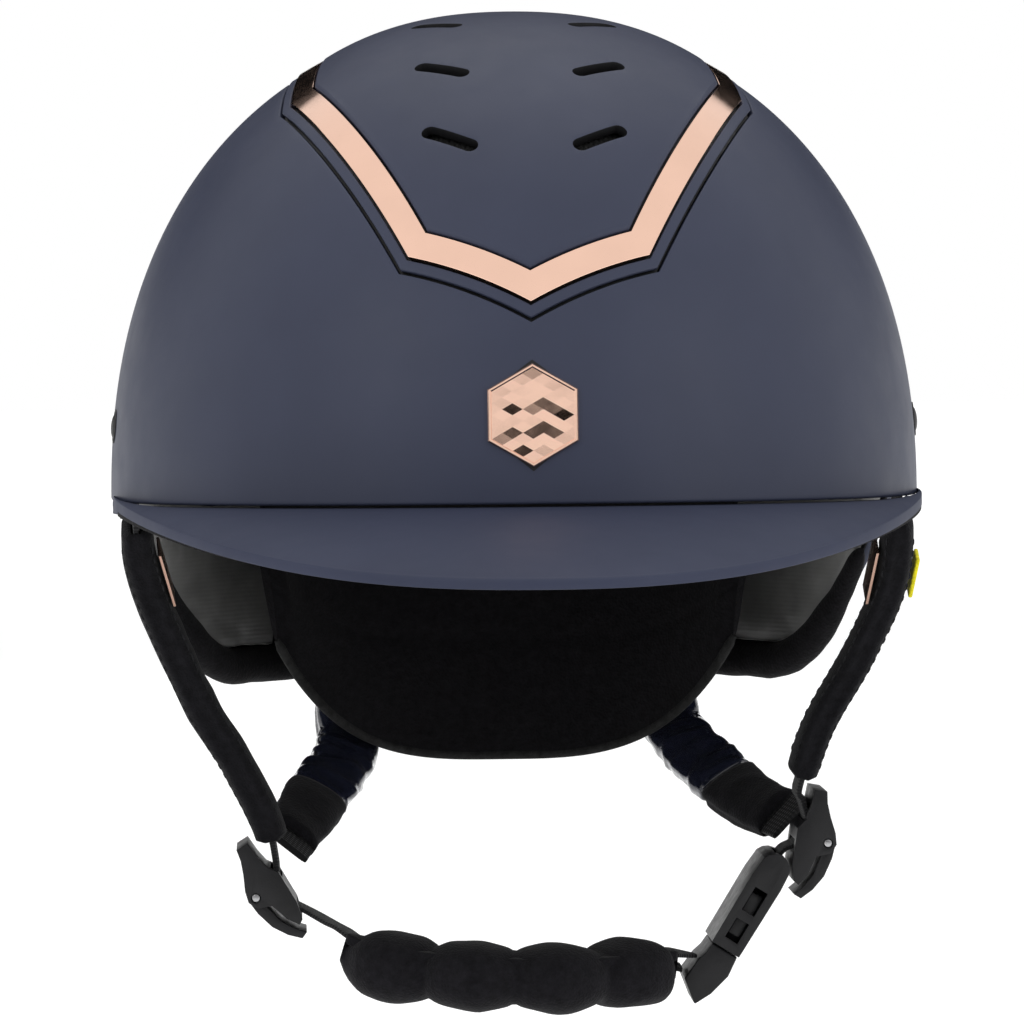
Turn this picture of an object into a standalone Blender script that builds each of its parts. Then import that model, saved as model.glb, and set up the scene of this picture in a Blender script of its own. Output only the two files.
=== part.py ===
"""Riding helmet with a wide peak, a framed crown panel, a four-point harness and a quick-release chin strap.

Metres, +Z up. The front of the helmet faces -Y. Names say left and right as seen from in front, so left is -X.
The origin is the middle of the crown pad's underside, where the top of the head bears.
Every shell-like piece lies on one dome. A place on it is (phi, run): phi is the angle from the front, and
run is the distance from the crown along the dome's mean meridian. A lift is a distance out along its normal.
"""

import math

import bpy
import bmesh
import numpy as np
from mathutils import Matrix, Vector

# ---- driving dimensions -------------------------------------------------------------------------------

SHELL_HALF_WIDTH = 0.1058
SHELL_FRONT = 0.126
SHELL_REAR = 0.132
CROWN_HEIGHT = 0.030
DOME_DEPTH = 0.1245
EQUATOR = CROWN_HEIGHT - DOME_DEPTH
DOME_POWER = 2.22
PLAN_POWER = 2.15
SKIRT_TUCK = 23.5
SHELL_WALL = 0.003
GAP = 0.0003

LINER_GAP = 0.0009
LINER_WALL = 0.0217
LINER_RISE_FRONT = 0.0065
LINER_RISE_REAR = 0.036

NAPE_DROP = 0.046
NAPE_DROP_START = 98.0
NAPE_DROP_END = 136.0

PANEL_TIP_ABOVE_RIM = 0.0581
PANEL_SHOULDER = (0.028, 0.0135)
PANEL_SIDE = (0.0550, 0.048)
PANEL_CREST = 0.0026
PANEL_EDGE_LIFT = 0.0010
TRIM_WIDTH = 0.0078
TRIM_LIFT = 0.0007
BEZEL_WIDTH = 0.0042
BEZEL_LIFT = 0.0002
FRAME_LEDGE = 0.007
FRAME_WALL = 0.0012
EDGE_STEPS = (3, 5, 10, 5, 3)

VENT_LENGTH = 0.016
VENT_WIDTH = 0.0042
VENT_OFFSET = 0.019
VENT_ROWS = (0.0865, 0.054, 0.026)
VENT_TURN = 34.0
VENT_DUCT = 1.35
MESH_HALF_WIDTH = 0.028
MESH_WALL = 0.0005

BADGE_FLATS = 0.022
BADGE_RECESS = 0.0011
BADGE_LIFT = 0.0006
BADGE_ABOVE_RIM = 0.0216

PEAK_TIP = 0.182
PEAK_HALF_WIDTH = 0.1045
PEAK_BACK = 0.021
PEAK_DROP = 0.0154
PEAK_WALL = 0.0026
PEAK_CROWN = 0.0022
PEAK_FADE = 0.82
PEAK_SPREAD = 80.0
PEAK_SIDE_POWER = 2.6
LINING_WALL = 0.0010
LINING_MARGIN = 0.07

HEADBAND_WALL = 0.003
HEADBAND_HEIGHT = 0.027
HEADBAND_GAP = 0.0008
CROWN_PAD_RADIUS = 0.030

SIDE_PANEL_SPAN = (104.0, 145.0)
SIDE_PANEL_WALL = 0.0045
ROLL_SPAN = (113.0, 179.8)
ROLL_SEMI = (0.0042, 0.0050)

CRADLE_SPAN = 47.0
CRADLE_WALL = 0.006
CRADLE_INSET = 0.025
CRADLE_LEAN = 0.002
CRADLE_TOP = EQUATOR - 0.0120
CRADLE_DEPTH = 0.0625
CRADLE_CORNER = 0.034
BINDING_RADIUS = 0.0013
LACE_RADIUS = 0.0010
LACE_HALF_WIDTH = 7.5
LACE_CROSSINGS = 6

WEBBING = (0.0144, 0.0018)
FRONT_SLEEVE = (0.0184, 0.0084)
REAR_SLEEVE = (0.0176, 0.0082)
REAR_CUFF = (0.0184, 0.0094)
SLEEVE_CLEARANCE = 0.0006

RIVET_HEAD_RADIUS = 0.0035
RIVET_SHANK_RADIUS = 0.0021
RIVET_HEAD = 0.0012
RIVET_SINK = 0.0006
FRONT_RIVET = (80.0, 0.0195)
REAR_RIVET = (155.0, -0.0225)
REAR_STRAP_LIFT = -0.0145
FRONT_STRAP_LIFT = -0.0058

DIVIDER_HALF_WIDTH = 0.011
CHEEK = 0.0016
PIN_RADIUS = 0.0011
PIN_CLEARANCE = 0.0002
LEVER_PIN = (-0.0010, 0.0047)
LEVER_BARREL = 0.0022

BUCKLE_HALF_WIDTH = 0.0125
BUCKLE_HALF_THICKNESS = 0.0042
BUCKLE_LENGTH = 0.0250
BUCKLE_WALL = 0.0016
CAVITY_DEPTH = 0.021
CAVITY_HALF_THICKNESS = 0.0023
LATCH_LENGTH = 0.017
LATCH_WALL = 0.0022

CHIN_WEBBING = (0.0144, 0.0014)
PAD_SECTION = (0.0275, 0.0185)
PAD_LOBES = 4
PAD_SLOT = (0.0186, 0.0032)
PAD_DROP = 0.0045

ANCHOR_PLATE = (0.013, 0.015, 0.0009)
LABEL = (0.008, 0.011, 0.0011)

# ---- where the harness runs: (x, y, z), mirrored pieces stated for each side as they hang ---------------

HARNESS_Y = 0.010
LEFT_DIVIDER = Vector((-0.0644, HARNESS_Y, -0.19875))
RIGHT_DIVIDER = Vector((0.0780, HARNESS_Y, -0.1879))
LEFT_DIVIDER_DOWN = Vector((0.530, 0.0, -0.848)).normalized()
RIGHT_DIVIDER_DOWN = Vector((-0.175, 0.0, -0.985)).normalized()
BUCKLE_MOUTH = Vector((0.0551, HARNESS_Y, -0.2156))
BUCKLE_UP = Vector((0.530, 0.0, 0.848)).normalized()

LEFT_FRONT_ROUTE = [
    (-(SHELL_HALF_WIDTH - 0.0066), -0.0130, EQUATOR - 0.0035),
    (-(SHELL_HALF_WIDTH - 0.0090), -0.0060, EQUATOR - 0.0215),
    (-0.0852, 0.0030, -0.145),
    (-0.0740, 0.0080, -0.165),
    (-0.0660, 0.0097, -0.181),
]
RIGHT_FRONT_ROUTE = [
    (SHELL_HALF_WIDTH - 0.0054, -0.0130, EQUATOR - 0.0035),
    (SHELL_HALF_WIDTH - 0.0063, -0.0060, EQUATOR - 0.0225),
    (0.0920, 0.0010, -0.1365),
    (0.0815, 0.0070, -0.156),
    (0.0758, 0.0097, -0.173),
]
# Beside the nape cradle: (turn from the front, below the equator, out from the cradle's face).
LEFT_NAPE_ROUTE = [(154.43, 0.0655, 0.0129), (151.19, 0.0740, 0.0057)]
RIGHT_NAPE_ROUTE = [(152.94, 0.0635, 0.0139), (148.25, 0.0705, 0.0080)]
LEFT_REAR_ROUTE = [
    (-0.0545, 0.0440, -0.1805),
    (-0.0610, 0.0220, -0.1885),
]
RIGHT_REAR_ROUTE = [
    (0.0640, 0.0420, -0.1785),
    (0.0750, 0.0220, -0.1830),
]
CHIN_ROUTE = [
    (-0.0470, 0.0045, -0.2090),
    (-0.0380, -0.0020, -0.2130),
    (-0.0200, -0.0100, -0.2153),
    (0.0, -0.0125, -0.2165),
    (0.0185, -0.0095, -0.2169),
    (0.0300, -0.0020, -0.2166),
    (0.0380, 0.0045, -0.2168),
    (0.0442, 0.0085, -0.2173),
]
TAIL_ROUTE = [(0.0395, 0.0095, -0.2203), (0.0440, 0.0095, -0.2214)]
TAB_END = 0.0185
PAD_REACH = (-0.0410, 0.0375)
SLEEVE_START = EQUATOR - 0.0050
LEFT_SLEEVE_END = -0.1865
RIGHT_SLEEVE_END = -0.1700
REAR_TUBE_START = -0.153
REAR_TUBE_SHARE = 0.60
REAR_STRAP_UNDER = 0.030

COLOURS = {
    "navy": ((0.050, 0.058, 0.090), 0.55, 0.0),
    "peak_navy": ((0.058, 0.068, 0.110), 0.60, 0.0),
    "rose_gold": ((0.82, 0.52, 0.40), 0.18, 1.0),
    "foam": ((0.03, 0.03, 0.032), 0.85, 0.0),
    "black_fabric": ((0.012, 0.012, 0.014), 0.90, 0.0),
    "grey_lining": ((0.05, 0.05, 0.046), 0.45, 0.0),
    "webbing": ((0.016, 0.016, 0.019), 0.80, 0.0),
    "patent": ((0.020, 0.021, 0.032), 0.12, 0.0),
    "black_plastic": ((0.018, 0.018, 0.020), 0.42, 0.0),
    "steel": ((0.45, 0.45, 0.46), 0.30, 1.0),
    "yellow": ((0.78, 0.70, 0.04), 0.60, 0.0),
}

# ---- plumbing ------------------------------------------------------------------------------------------


def clear_scene():
    for obj in list(bpy.data.objects):
        bpy.data.objects.remove(obj, do_unlink=True)


def material(name):
    found = bpy.data.materials.get(name)
    if found:
        return found
    colour, roughness, metallic = COLOURS[name]
    made = bpy.data.materials.new(name)
    made.use_nodes = True
    shader = made.node_tree.nodes["Principled BSDF"]
    shader.inputs["Base Color"].default_value = (*colour, 1.0)
    shader.inputs["Roughness"].default_value = roughness
    shader.inputs["Metallic"].default_value = metallic
    return made


def solid(name, verts, faces, colour, origin=None, smooth=True):
    """A mesh object from points in world space, its origin moved to origin and its faces turned outwards."""
    pivot = Vector(origin) if origin is not None else Vector((0.0, 0.0, 0.0))
    mesh = bpy.data.meshes.new(name)
    mesh.from_pydata([Vector(v) - pivot for v in verts], [], faces)
    bm = bmesh.new()
    bm.from_mesh(mesh)
    bmesh.ops.recalc_face_normals(bm, faces=bm.faces)
    bm.to_mesh(mesh)
    bm.free()
    if smooth:
        mesh.shade_smooth()
        mesh.set_sharp_from_angle(angle=math.radians(35))
    mesh.materials.append(material(colour))
    obj = bpy.data.objects.new(name, mesh)
    obj.location = pivot
    bpy.context.scene.collection.objects.link(obj)
    return obj


def carve(target, verts, faces, label, operation="DIFFERENCE"):
    """Takes the closed shape away from target, or joins it on."""
    cutter = solid(f"cut_{target.name}_{label}", verts, faces, "steel", smooth=False)
    cutter.hide_render = True
    cutter.display_type = "WIRE"
    boolean = target.modifiers.new(label, "BOOLEAN")
    boolean.operation = operation
    boolean.solver = "EXACT"
    boolean.object = cutter


def ring_faces(loops, closed_along, closed_around, count):
    """Quads between loops of count points each, where point j of loop i is number i * count + j."""
    faces = []
    last = loops if closed_along else loops - 1
    around = count if closed_around else count - 1
    for i in range(last):
        a = i * count
        b = ((i + 1) % loops) * count
        for j in range(around):
            k = (j + 1) % count
            faces.append((a + j, a + k, b + k, b + j))
    return faces


def loft(sections, closed=False):
    """A solid through sections, each a loop of points. Its ends are capped unless it closes on itself."""
    count = len(sections[0])
    verts = [p for section in sections for p in section]
    faces = ring_faces(len(sections), closed, True, count)
    if not closed:
        faces.append(tuple(range(count)))
        faces.append(tuple(range(len(verts) - count, len(verts))))
    return verts, faces


def prism(profile, frame, low, high):
    """An outline in a frame's first and third directions, drawn out along its second one from low to high."""
    origin, along, across, out = frame
    sections = [[origin + along * p + out * q + across * y for p, q in profile] for y in (low, high)]
    return loft(sections)


def box_in(frame, low, high):
    profile = [(low[0], low[2]), (high[0], low[2]), (high[0], high[2]), (low[0], high[2])]
    return prism(profile, frame, low[1], high[1])


def rod(start, end, radius, sides=20):
    """A round bar between two points."""
    axis = (Vector(end) - Vector(start)).normalized()
    side = axis.orthogonal().normalized()
    up = axis.cross(side)
    turns = [2 * math.pi * i / sides for i in range(sides)]
    spokes = [side * math.cos(a) * radius + up * math.sin(a) * radius for a in turns]
    return loft([[Vector(p) + s for s in spokes] for p in (start, end)])


def turned(start, axis, profile, sides=20):
    """A solid of revolution: profile lists (distance along axis, radius) from one end to the other."""
    axis = Vector(axis).normalized()
    side = axis.orthogonal().normalized()
    up = axis.cross(side)
    turns = [2 * math.pi * i / sides for i in range(sides)]
    loops = []
    for along, radius in profile:
        centre = Vector(start) + axis * along
        loops.append([centre + side * math.cos(a) * radius + up * math.sin(a) * radius for a in turns])
    return loft(loops)


def smooth_route(points, spacing):
    """Evenly spaced points along a smooth (Catmull-Rom) curve through the given ones, ends included."""
    pts = [Vector(p) for p in points]
    pts = [pts[0] * 2 - pts[1]] + pts + [pts[-1] * 2 - pts[-2]]
    dense = []
    for i in range(1, len(pts) - 2):
        a, b, c, d = pts[i - 1 : i + 3]
        for k in range(12):
            t = k / 12
            cubic = (a * 2 - b * 5 + c * 4 - d) * t**2 + (b * 3 - a - c * 3 + d) * t**3
            dense.append(0.5 * (b * 2 + (c - a) * t + cubic))
    dense.append(pts[-2])
    return trimmed(dense, 0.0, 0.0, spacing)


def trimmed(route, start, end, spacing):
    """Even points on a route between two distances along it. An end of 0 or less counts back from its end."""
    lengths = [0.0]
    for a, b in zip(route, route[1:]):
        lengths.append(lengths[-1] + (b - a).length)
    end = end if end > 0 else lengths[-1] + end
    count = max(1, round((end - start) / spacing))
    made = []
    for n in range(count + 1):
        distance = start + (end - start) * n / count
        i = max(k for k in range(len(route) - 1) if lengths[k] <= distance + 1e-9)
        made.append(route[i].lerp(route[i + 1], (distance - lengths[i]) / (lengths[i + 1] - lengths[i])))
    return made


def strap_frames(route, widths):
    """(point, width direction, thickness direction) along a route. widths are hints, evenly spread along it."""
    frames = []
    for i, p in enumerate(route):
        before = route[max(i - 1, 0)]
        after = route[min(i + 1, len(route) - 1)]
        along = (after - before).normalized()
        place = i / (len(route) - 1) * (len(widths) - 1)
        k = min(int(place), len(widths) - 2)
        hint = Vector(widths[k]).lerp(Vector(widths[k + 1]), place - k)
        across = (hint - along * hint.dot(along)).normalized()
        frames.append((p, across, along.cross(across)))
    return frames


def webbing(frames, size):
    """A flat strap of the given width and thickness."""
    half_width, half_thick = size[0] / 2, size[1] / 2
    corners = [(-1, -1), (1, -1), (1, 1), (-1, 1)]
    return loft([[p + w * (a * half_width) + n * (b * half_thick) for a, b in corners] for p, w, n in frames])


def oval(count, half_width, half_thick, power):
    """A superellipse outline."""
    made = []
    for i in range(count):
        a = 2 * math.pi * (i + 0.5) / count
        c, s = math.cos(a), math.sin(a)
        x = math.copysign(abs(c) ** (2 / power), c)
        y = math.copysign(abs(s) ** (2 / power), s)
        made.append((x * half_width, y * half_thick))
    return made


def sleeve(frames, outer, inner, drop=0.0, swell=None, count=12):
    """A tube round a strap: an oval outside and a flat slot inside, open at both ends."""
    swell = swell or [1.0] * len(frames)
    skin = oval(count, outer[0] / 2, outer[1] / 2, 2.6)
    slot = oval(count, inner[0] / 2, inner[1] / 2, 8.0)
    verts = []
    for (p, w, n), grow in zip(frames, swell):
        verts += [p + w * (x * grow) + n * (y * grow - drop) for x, y in skin]
        verts += [p + w * x + n * y for x, y in slot]
    faces = []
    loops = len(frames)
    for i in range(loops - 1):
        for j in range(count):
            k = (j + 1) % count
            a, b = i * 2 * count, (i + 1) * 2 * count
            faces.append((a + j, a + k, b + k, b + j))
            faces.append((a + count + j, b + count + j, b + count + k, a + count + k))
    for base in (0, (loops - 1) * 2 * count):
        for j in range(count):
            k = (j + 1) % count
            faces.append((base + j, base + k, base + count + k, base + count + j))
    return verts, faces


# ---- the dome ------------------------------------------------------------------------------------------

MEAN_RADIUS = (2 * SHELL_HALF_WIDTH + SHELL_FRONT + SHELL_REAR) / 4
LOWEST = EQUATOR - 0.095


def meridian():
    """Matching lists of run, share of the plan radius and height, from the crown to below the rim."""
    turn = np.radians(np.linspace(90.0, 0.0, 361))
    share = np.clip(np.cos(turn), 0.0, 1.0) ** (2 / DOME_POWER)
    height = EQUATOR + DOME_DEPTH * np.sin(turn) ** (2 / DOME_POWER)
    below = np.linspace(EQUATOR, LOWEST, 96)[1:]
    share = np.concatenate([share, 1 - SKIRT_TUCK * (EQUATOR - below) ** 2])
    height = np.concatenate([height, below])
    steps = np.hypot(np.diff(share * MEAN_RADIUS), np.diff(height))
    return np.concatenate([[0.0], np.cumsum(steps)]), share, height


RUNS, SHARES, HEIGHTS = meridian()


def plan_radius(phi):
    """The dome's radius at its widest level, in the direction phi (radians from the front)."""
    reach = SHELL_FRONT if math.cos(phi) > 0 else SHELL_REAR
    x = abs(math.sin(phi) / SHELL_HALF_WIDTH) ** PLAN_POWER
    y = abs(math.cos(phi) / reach) ** PLAN_POWER
    return (x + y) ** (-1 / PLAN_POWER)


def surface(u, v):
    run = math.hypot(u, v)
    phi = math.atan2(u, -v)
    radius = float(np.interp(run, RUNS, SHARES)) * plan_radius(phi)
    return Vector((radius * math.sin(phi), -radius * math.cos(phi), float(np.interp(run, RUNS, HEIGHTS))))


def normal_at(u, v):
    step = 0.0006
    du = surface(u + step, v) - surface(u - step, v)
    dv = surface(u, v + step) - surface(u, v - step)
    return du.cross(dv).normalized()


def on_flat(u, v, lift=0.0):
    """A point on the dome from flat coordinates, measured from the crown: u towards +X and v to the rear."""
    return surface(u, v) + normal_at(u, v) * lift


def place(phi, run, lift=0.0):
    """A point on the dome: phi in degrees from the front, positive towards +X."""
    a = math.radians(phi)
    return on_flat(run * math.sin(a), -run * math.cos(a), lift)


def run_at(height):
    return float(np.interp(-height, -HEIGHTS, RUNS))


def ease(t):
    t = min(max(t, 0.0), 1.0)
    return t * t * (3 - 2 * t)


def nape_share(phi):
    """0 along the front and sides of the rim, 1 round the back, where the shell reaches lower."""
    turn = abs((phi + 180.0) % 360.0 - 180.0)
    return ease((turn - NAPE_DROP_START) / (NAPE_DROP_END - NAPE_DROP_START))


def rim_run(phi):
    front_rise = 0.0017 * max(math.cos(math.radians(phi)), 0.0) ** 2
    return run_at(EQUATOR + front_rise - NAPE_DROP * nape_share(phi))


def liner_run(phi):
    return run_at(EQUATOR + LINER_RISE_FRONT - (NAPE_DROP - LINER_RISE_REAR) * nape_share(phi))


def shoulder_run():
    """How far the panel's shoulders are from the crown, along the middle."""
    return rim_run(0.0) - PANEL_TIP_ABOVE_RIM - PANEL_SHOULDER[1]


def panel_outline(grow):
    """The crown panel's outline in flat coordinates, moved outwards by grow: matching points for any grow."""
    shoulder = shoulder_run()
    right = [(0.0, -shoulder - PANEL_SHOULDER[1]), (PANEL_SHOULDER[0], -shoulder), (PANEL_SIDE[0], -PANEL_SIDE[1])]
    right += [(u, -v) for u, v in reversed(right)]
    loop = right + [(-u, v) for u, v in reversed(right[1:-1])]
    steps = EDGE_STEPS + EDGE_STEPS[::-1]
    moved = []
    for i, p in enumerate(loop):
        before, after = loop[i - 1], loop[(i + 1) % len(loop)]
        outs = []
        for a, b in ((before, p), (p, after)):
            length = math.hypot(b[0] - a[0], b[1] - a[1])
            outs.append(((b[1] - a[1]) / length, (a[0] - b[0]) / length))
        mitre = (outs[0][0] + outs[1][0], outs[0][1] + outs[1][1])
        fit = mitre[0] * outs[0][0] + mitre[1] * outs[0][1]
        moved.append((p[0] + mitre[0] * grow / fit, p[1] + mitre[1] * grow / fit))
    points = []
    for i, count in enumerate(steps):
        a, b = moved[i], moved[(i + 1) % len(moved)]
        points += [(a[0] + (b[0] - a[0]) * k / count, a[1] + (b[1] - a[1]) * k / count) for k in range(count)]
    return points


def around(count, run, begin=-180.0, end=180.0):
    """Flat points at run(phi) in count directions. A full turn leaves out its repeated end."""
    full = end - begin > 359.0
    made = []
    for i in range(count):
        phi = begin + (end - begin) * i / (count if full else count - 1)
        a = math.radians(phi)
        made.append((run(phi) * math.sin(a), -run(phi) * math.cos(a)))
    return made


def angle_of(point):
    return math.degrees(math.atan2(point[0], -point[1]))


def between(a, b, t):
    return a[0] + (b[0] - a[0]) * t, a[1] + (b[1] - a[1]) * t


def dome_band(starts, ends, low, high, rings, closed=True):
    """A solid on the dome between two matching lists of flat points. low and high are lifts by share across."""
    shares = [i / rings for i in range(rings + 1)]
    loops = []
    for a, b in zip(starts, ends):
        top = [on_flat(*between(a, b, t), high(t)) for t in shares]
        bottom = [on_flat(*between(a, b, t), low(t)) for t in reversed(shares)]
        loops.append(top + bottom)
    return loft(loops, closed)


def dome_disc(ends, low, high, rings):
    """A solid over the crown out to a list of flat points. low and high are lifts by share of the way out."""
    verts = [on_flat(0.0, 0.0, high(0.0))]
    shares = [i / rings for i in range(1, rings + 1)]
    layers = [(t, high) for t in shares] + [(t, low) for t in reversed(shares)]
    for t, lift in layers:
        verts += [on_flat(u * t, v * t, lift(t)) for u, v in ends]
    verts.append(on_flat(0.0, 0.0, low(0.0)))
    count = len(ends)
    faces = []
    for j in range(count):
        k = (j + 1) % count
        faces.append((0, 1 + j, 1 + k))
        last = 1 + (len(layers) - 1) * count
        faces.append((len(verts) - 1, last + k, last + j))
        for i in range(len(layers) - 1):
            a, b = 1 + i * count, 1 + (i + 1) * count
            faces.append((a + j, b + j, b + k, a + k))
    return verts, faces


def on_level(phi, height, inset):
    """A point inside the skirt: inset is measured level, in from the dome towards its axis."""
    a = math.radians(phi)
    radius = float(np.interp(-height, -HEIGHTS, SHARES)) * plan_radius(a) - inset
    return Vector((radius * math.sin(a), -radius * math.cos(a), height))


def flat(value):
    return lambda t: value


# ---- shell, liner and crown ---------------------------------------------------------------------------


def vent_places():
    rows = [shoulder_run() - back for back in VENT_ROWS]
    places = [(end, row, side) for end in (-1, 1) for row in rows for side in (-1, 1)]
    return [(side * VENT_OFFSET, end * row, side, end) for end, row, side in places]


def vent_shape(u, v, side, end, grow, low, high):
    """A slot through the dome at (u, v), its outer end turned away from the nearest tip of the panel."""
    out = normal_at(u, v)
    turn = math.radians(VENT_TURN)
    step_u, step_v = side * 0.001 * math.cos(turn), -end * 0.001 * math.sin(turn)
    along = (on_flat(u + step_u, v + step_v) - on_flat(u, v)).normalized()
    along = (along - out * along.dot(out)).normalized()
    across = out.cross(along)
    radius = VENT_WIDTH / 2 * grow
    reach = (VENT_LENGTH - VENT_WIDTH) / 2 * grow
    profile = []
    for centre, begin in ((reach, -90), (-reach, 90)):
        for i in range(5):
            a = math.radians(begin + 45 * i)
            profile.append((centre + radius * math.cos(a), radius * math.sin(a)))
    middle = on_flat(u, v)
    return loft([[middle + along * p + across * q + out * h for p, q in profile] for h in (low, high)])


def rivet_seat(phi, height):
    """(point on the dome, outward direction) of a strap rivet at a height above the equator."""
    run = run_at(EQUATOR + height)
    point = place(phi, run)
    return point, (place(phi, run, 0.001) - point).normalized()


def rivet_places():
    made = []
    for end, (phi, height) in (("front", FRONT_RIVET), ("rear", REAR_RIVET)):
        for side, sign in (("left", -1), ("right", 1)):
            made.append((f"{end}_rivet_{side}", *rivet_seat(sign * phi, height), end))
    return made


def cut_rivet_seats(shell):
    floor = -(RIVET_SINK + RIVET_HEAD + GAP)
    for name, point, out, _ in rivet_places():
        profile = [
            (-0.006, RIVET_SHANK_RADIUS + GAP),
            (floor, RIVET_SHANK_RADIUS + GAP),
            (floor, RIVET_HEAD_RADIUS + GAP),
            (0.004, RIVET_HEAD_RADIUS + GAP),
        ]
        carve(shell, *turned(point, out, profile), name)


def badge_frame():
    run = rim_run(0.0) - BADGE_ABOVE_RIM
    point = place(0.0, run)
    out = (place(0.0, run, 0.001) - point).normalized()
    along = Vector((1.0, 0.0, 0.0))
    return point, along, out.cross(along), out


def hexagon(frame, flats, low, high):
    """A six-sided bar with two upright flats."""
    point, along, up, out = frame
    radius = flats / math.sqrt(3)
    turns = [math.radians(60 * i) for i in range(6)]
    corners = [(radius * math.sin(a), radius * math.cos(a)) for a in turns]
    return loft([[point + along * x + up * y + out * h for x, y in corners] for h in (low, high)])


def make_shell():
    opening = panel_outline(TRIM_WIDTH + BEZEL_WIDTH)
    rim = []
    for p in opening:
        run = rim_run(angle_of(p))
        scale = run / math.hypot(*p)
        rim.append((p[0] * scale, p[1] * scale))
    shell = solid("shell_main", *dome_band(opening, rim, flat(-SHELL_WALL), flat(0.0), 9), "navy")
    cut_rivet_seats(shell)
    carve(shell, *hexagon(badge_frame(), BADGE_FLATS + 2 * GAP, -BADGE_RECESS - GAP, 0.006), "badge")


def make_badge():
    plate = hexagon(badge_frame(), BADGE_FLATS, -BADGE_RECESS, BADGE_LIFT)
    solid("badge_plate", *plate, "rose_gold", smooth=False)


def seat_lift():
    """The lift of the frame's upper face plus its clearance, where the panel and its surround sit."""
    return -SHELL_WALL + FRAME_WALL + 3 * GAP


def make_panel():
    rise = PANEL_CREST - PANEL_EDGE_LIFT
    crest = lambda t: PANEL_EDGE_LIFT + rise * (1 - t**3)
    panel = solid("crown_panel", *dome_disc(panel_outline(-GAP), flat(seat_lift()), crest, 8), "navy")
    for i, (u, v, side, end) in enumerate(vent_places()):
        carve(panel, *vent_shape(u, v, side, end, 1.0, -0.008, 0.008), f"vent_{i}")


def make_panel_surround():
    """The metallic strip and border round the panel, the frame they sit on, and the mesh under the vents."""
    floor = flat(seat_lift())
    inner, outer = panel_outline(GAP), panel_outline(TRIM_WIDTH)
    solid("trim_strip", *dome_band(inner, outer, floor, flat(TRIM_LIFT), 1), "rose_gold")
    inner, outer = panel_outline(TRIM_WIDTH + GAP), panel_outline(TRIM_WIDTH + BEZEL_WIDTH - GAP)
    solid("bezel_ring", *dome_band(inner, outer, floor, flat(BEZEL_LIFT), 1), "navy")
    inner = panel_outline(-FRAME_LEDGE)
    low, high = -SHELL_WALL, -SHELL_WALL + FRAME_WALL
    solid("panel_frame", *dome_band(inner, outer, flat(low), flat(high), 2), "black_plastic")
    reach = shoulder_run() - VENT_ROWS[-1] + VENT_WIDTH
    rows = [reach * (i / 7 - 1) for i in range(15)]
    starts = [(-MESH_HALF_WIDTH, v) for v in rows]
    ends = [(MESH_HALF_WIDTH, v) for v in rows]
    mesh = dome_band(starts, ends, flat(low + MESH_WALL), flat(low + 2 * MESH_WALL), 4, closed=False)
    solid("vent_mesh", *mesh, "black_fabric")


def strap_pocket(side):
    """The hollow in the liner's outer face that a front strap hangs through."""
    x = side * (SHELL_HALF_WIDTH + 0.010)
    inner = side * (abs(front_anchor(side).x) - WEBBING[1] / 2 - 0.0014)
    y = front_anchor(side).y
    half = WEBBING[0] / 2 + 0.0022
    frame = (Vector((0.0, 0.0, 0.0)), Vector((1, 0, 0)), Vector((0, 1, 0)), Vector((0, 0, 1)))
    low = (min(x, inner), y - half, EQUATOR - 0.010)
    high = (max(x, inner), y + half + 0.003, front_anchor(side).z + WEBBING[0] / 2 + 0.002)
    return box_in(frame, low, high)


def make_liner():
    top = -(SHELL_WALL + LINER_GAP)
    bottom = top - LINER_WALL
    liner = solid(
        "eps_liner", *dome_disc(around(34, liner_run), flat(bottom), flat(top), 12), "foam"
    )
    for i, (u, v, side, end) in enumerate(vent_places()):
        carve(liner, *vent_shape(u, v, side, end, VENT_DUCT, -0.036, 0.004), f"duct_{i}")
    for side, name in ((-1, "left"), (1, "right")):
        carve(liner, *strap_pocket(side), f"pocket_{name}")


def inner_lift():
    """The lift of the liner's inner face."""
    return -(SHELL_WALL + LINER_GAP + LINER_WALL)


def make_headband():
    high = inner_lift() - HEADBAND_GAP
    end = lambda phi: liner_run(phi) - 0.001
    start = lambda phi: end(phi) - HEADBAND_HEIGHT
    band = dome_band(around(36, start), around(36, end), flat(high - HEADBAND_WALL), flat(high), 2)
    solid("headband", *band, "black_fabric")


def make_crown_pad():
    """A round pad whose top follows the liner and whose underside is flat, at height 0."""
    count = 28
    rings = 3
    lift = inner_lift() - HEADBAND_GAP
    verts = [place(0.0, 0.0, lift)]
    for i in range(1, rings + 1):
        for j in range(count):
            verts.append(place(360.0 * j / count, CROWN_PAD_RADIUS * i / rings, lift))
    outer = verts[-count:]
    verts += [Vector((p.x, p.y, 0.0)) for p in outer]
    faces = [(0, 1 + j, 1 + (j + 1) % count) for j in range(count)]
    for i in range(rings):
        a, b = 1 + i * count, 1 + (i + 1) * count
        faces += [(a + j, b + j, b + (j + 1) % count, a + (j + 1) % count) for j in range(count)]
    faces.append(tuple(range(len(verts) - count, len(verts))))
    solid("crown_pad", verts, faces, "black_fabric")


# ---- peak ----------------------------------------------------------------------------------------------


def peak_edge(turn):
    """The peak's outer edge at turn, from -90 to 90 degrees."""
    a = math.radians(turn)
    x = PEAK_HALF_WIDTH * math.sin(a)
    y = -PEAK_BACK - (PEAK_TIP - PEAK_BACK) * math.cos(a)
    rise = PEAK_DROP * abs(x / PEAK_HALF_WIDTH) ** PEAK_SIDE_POWER
    return Vector((x, y, EQUATOR + 0.0015 - PEAK_DROP + rise))


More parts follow.
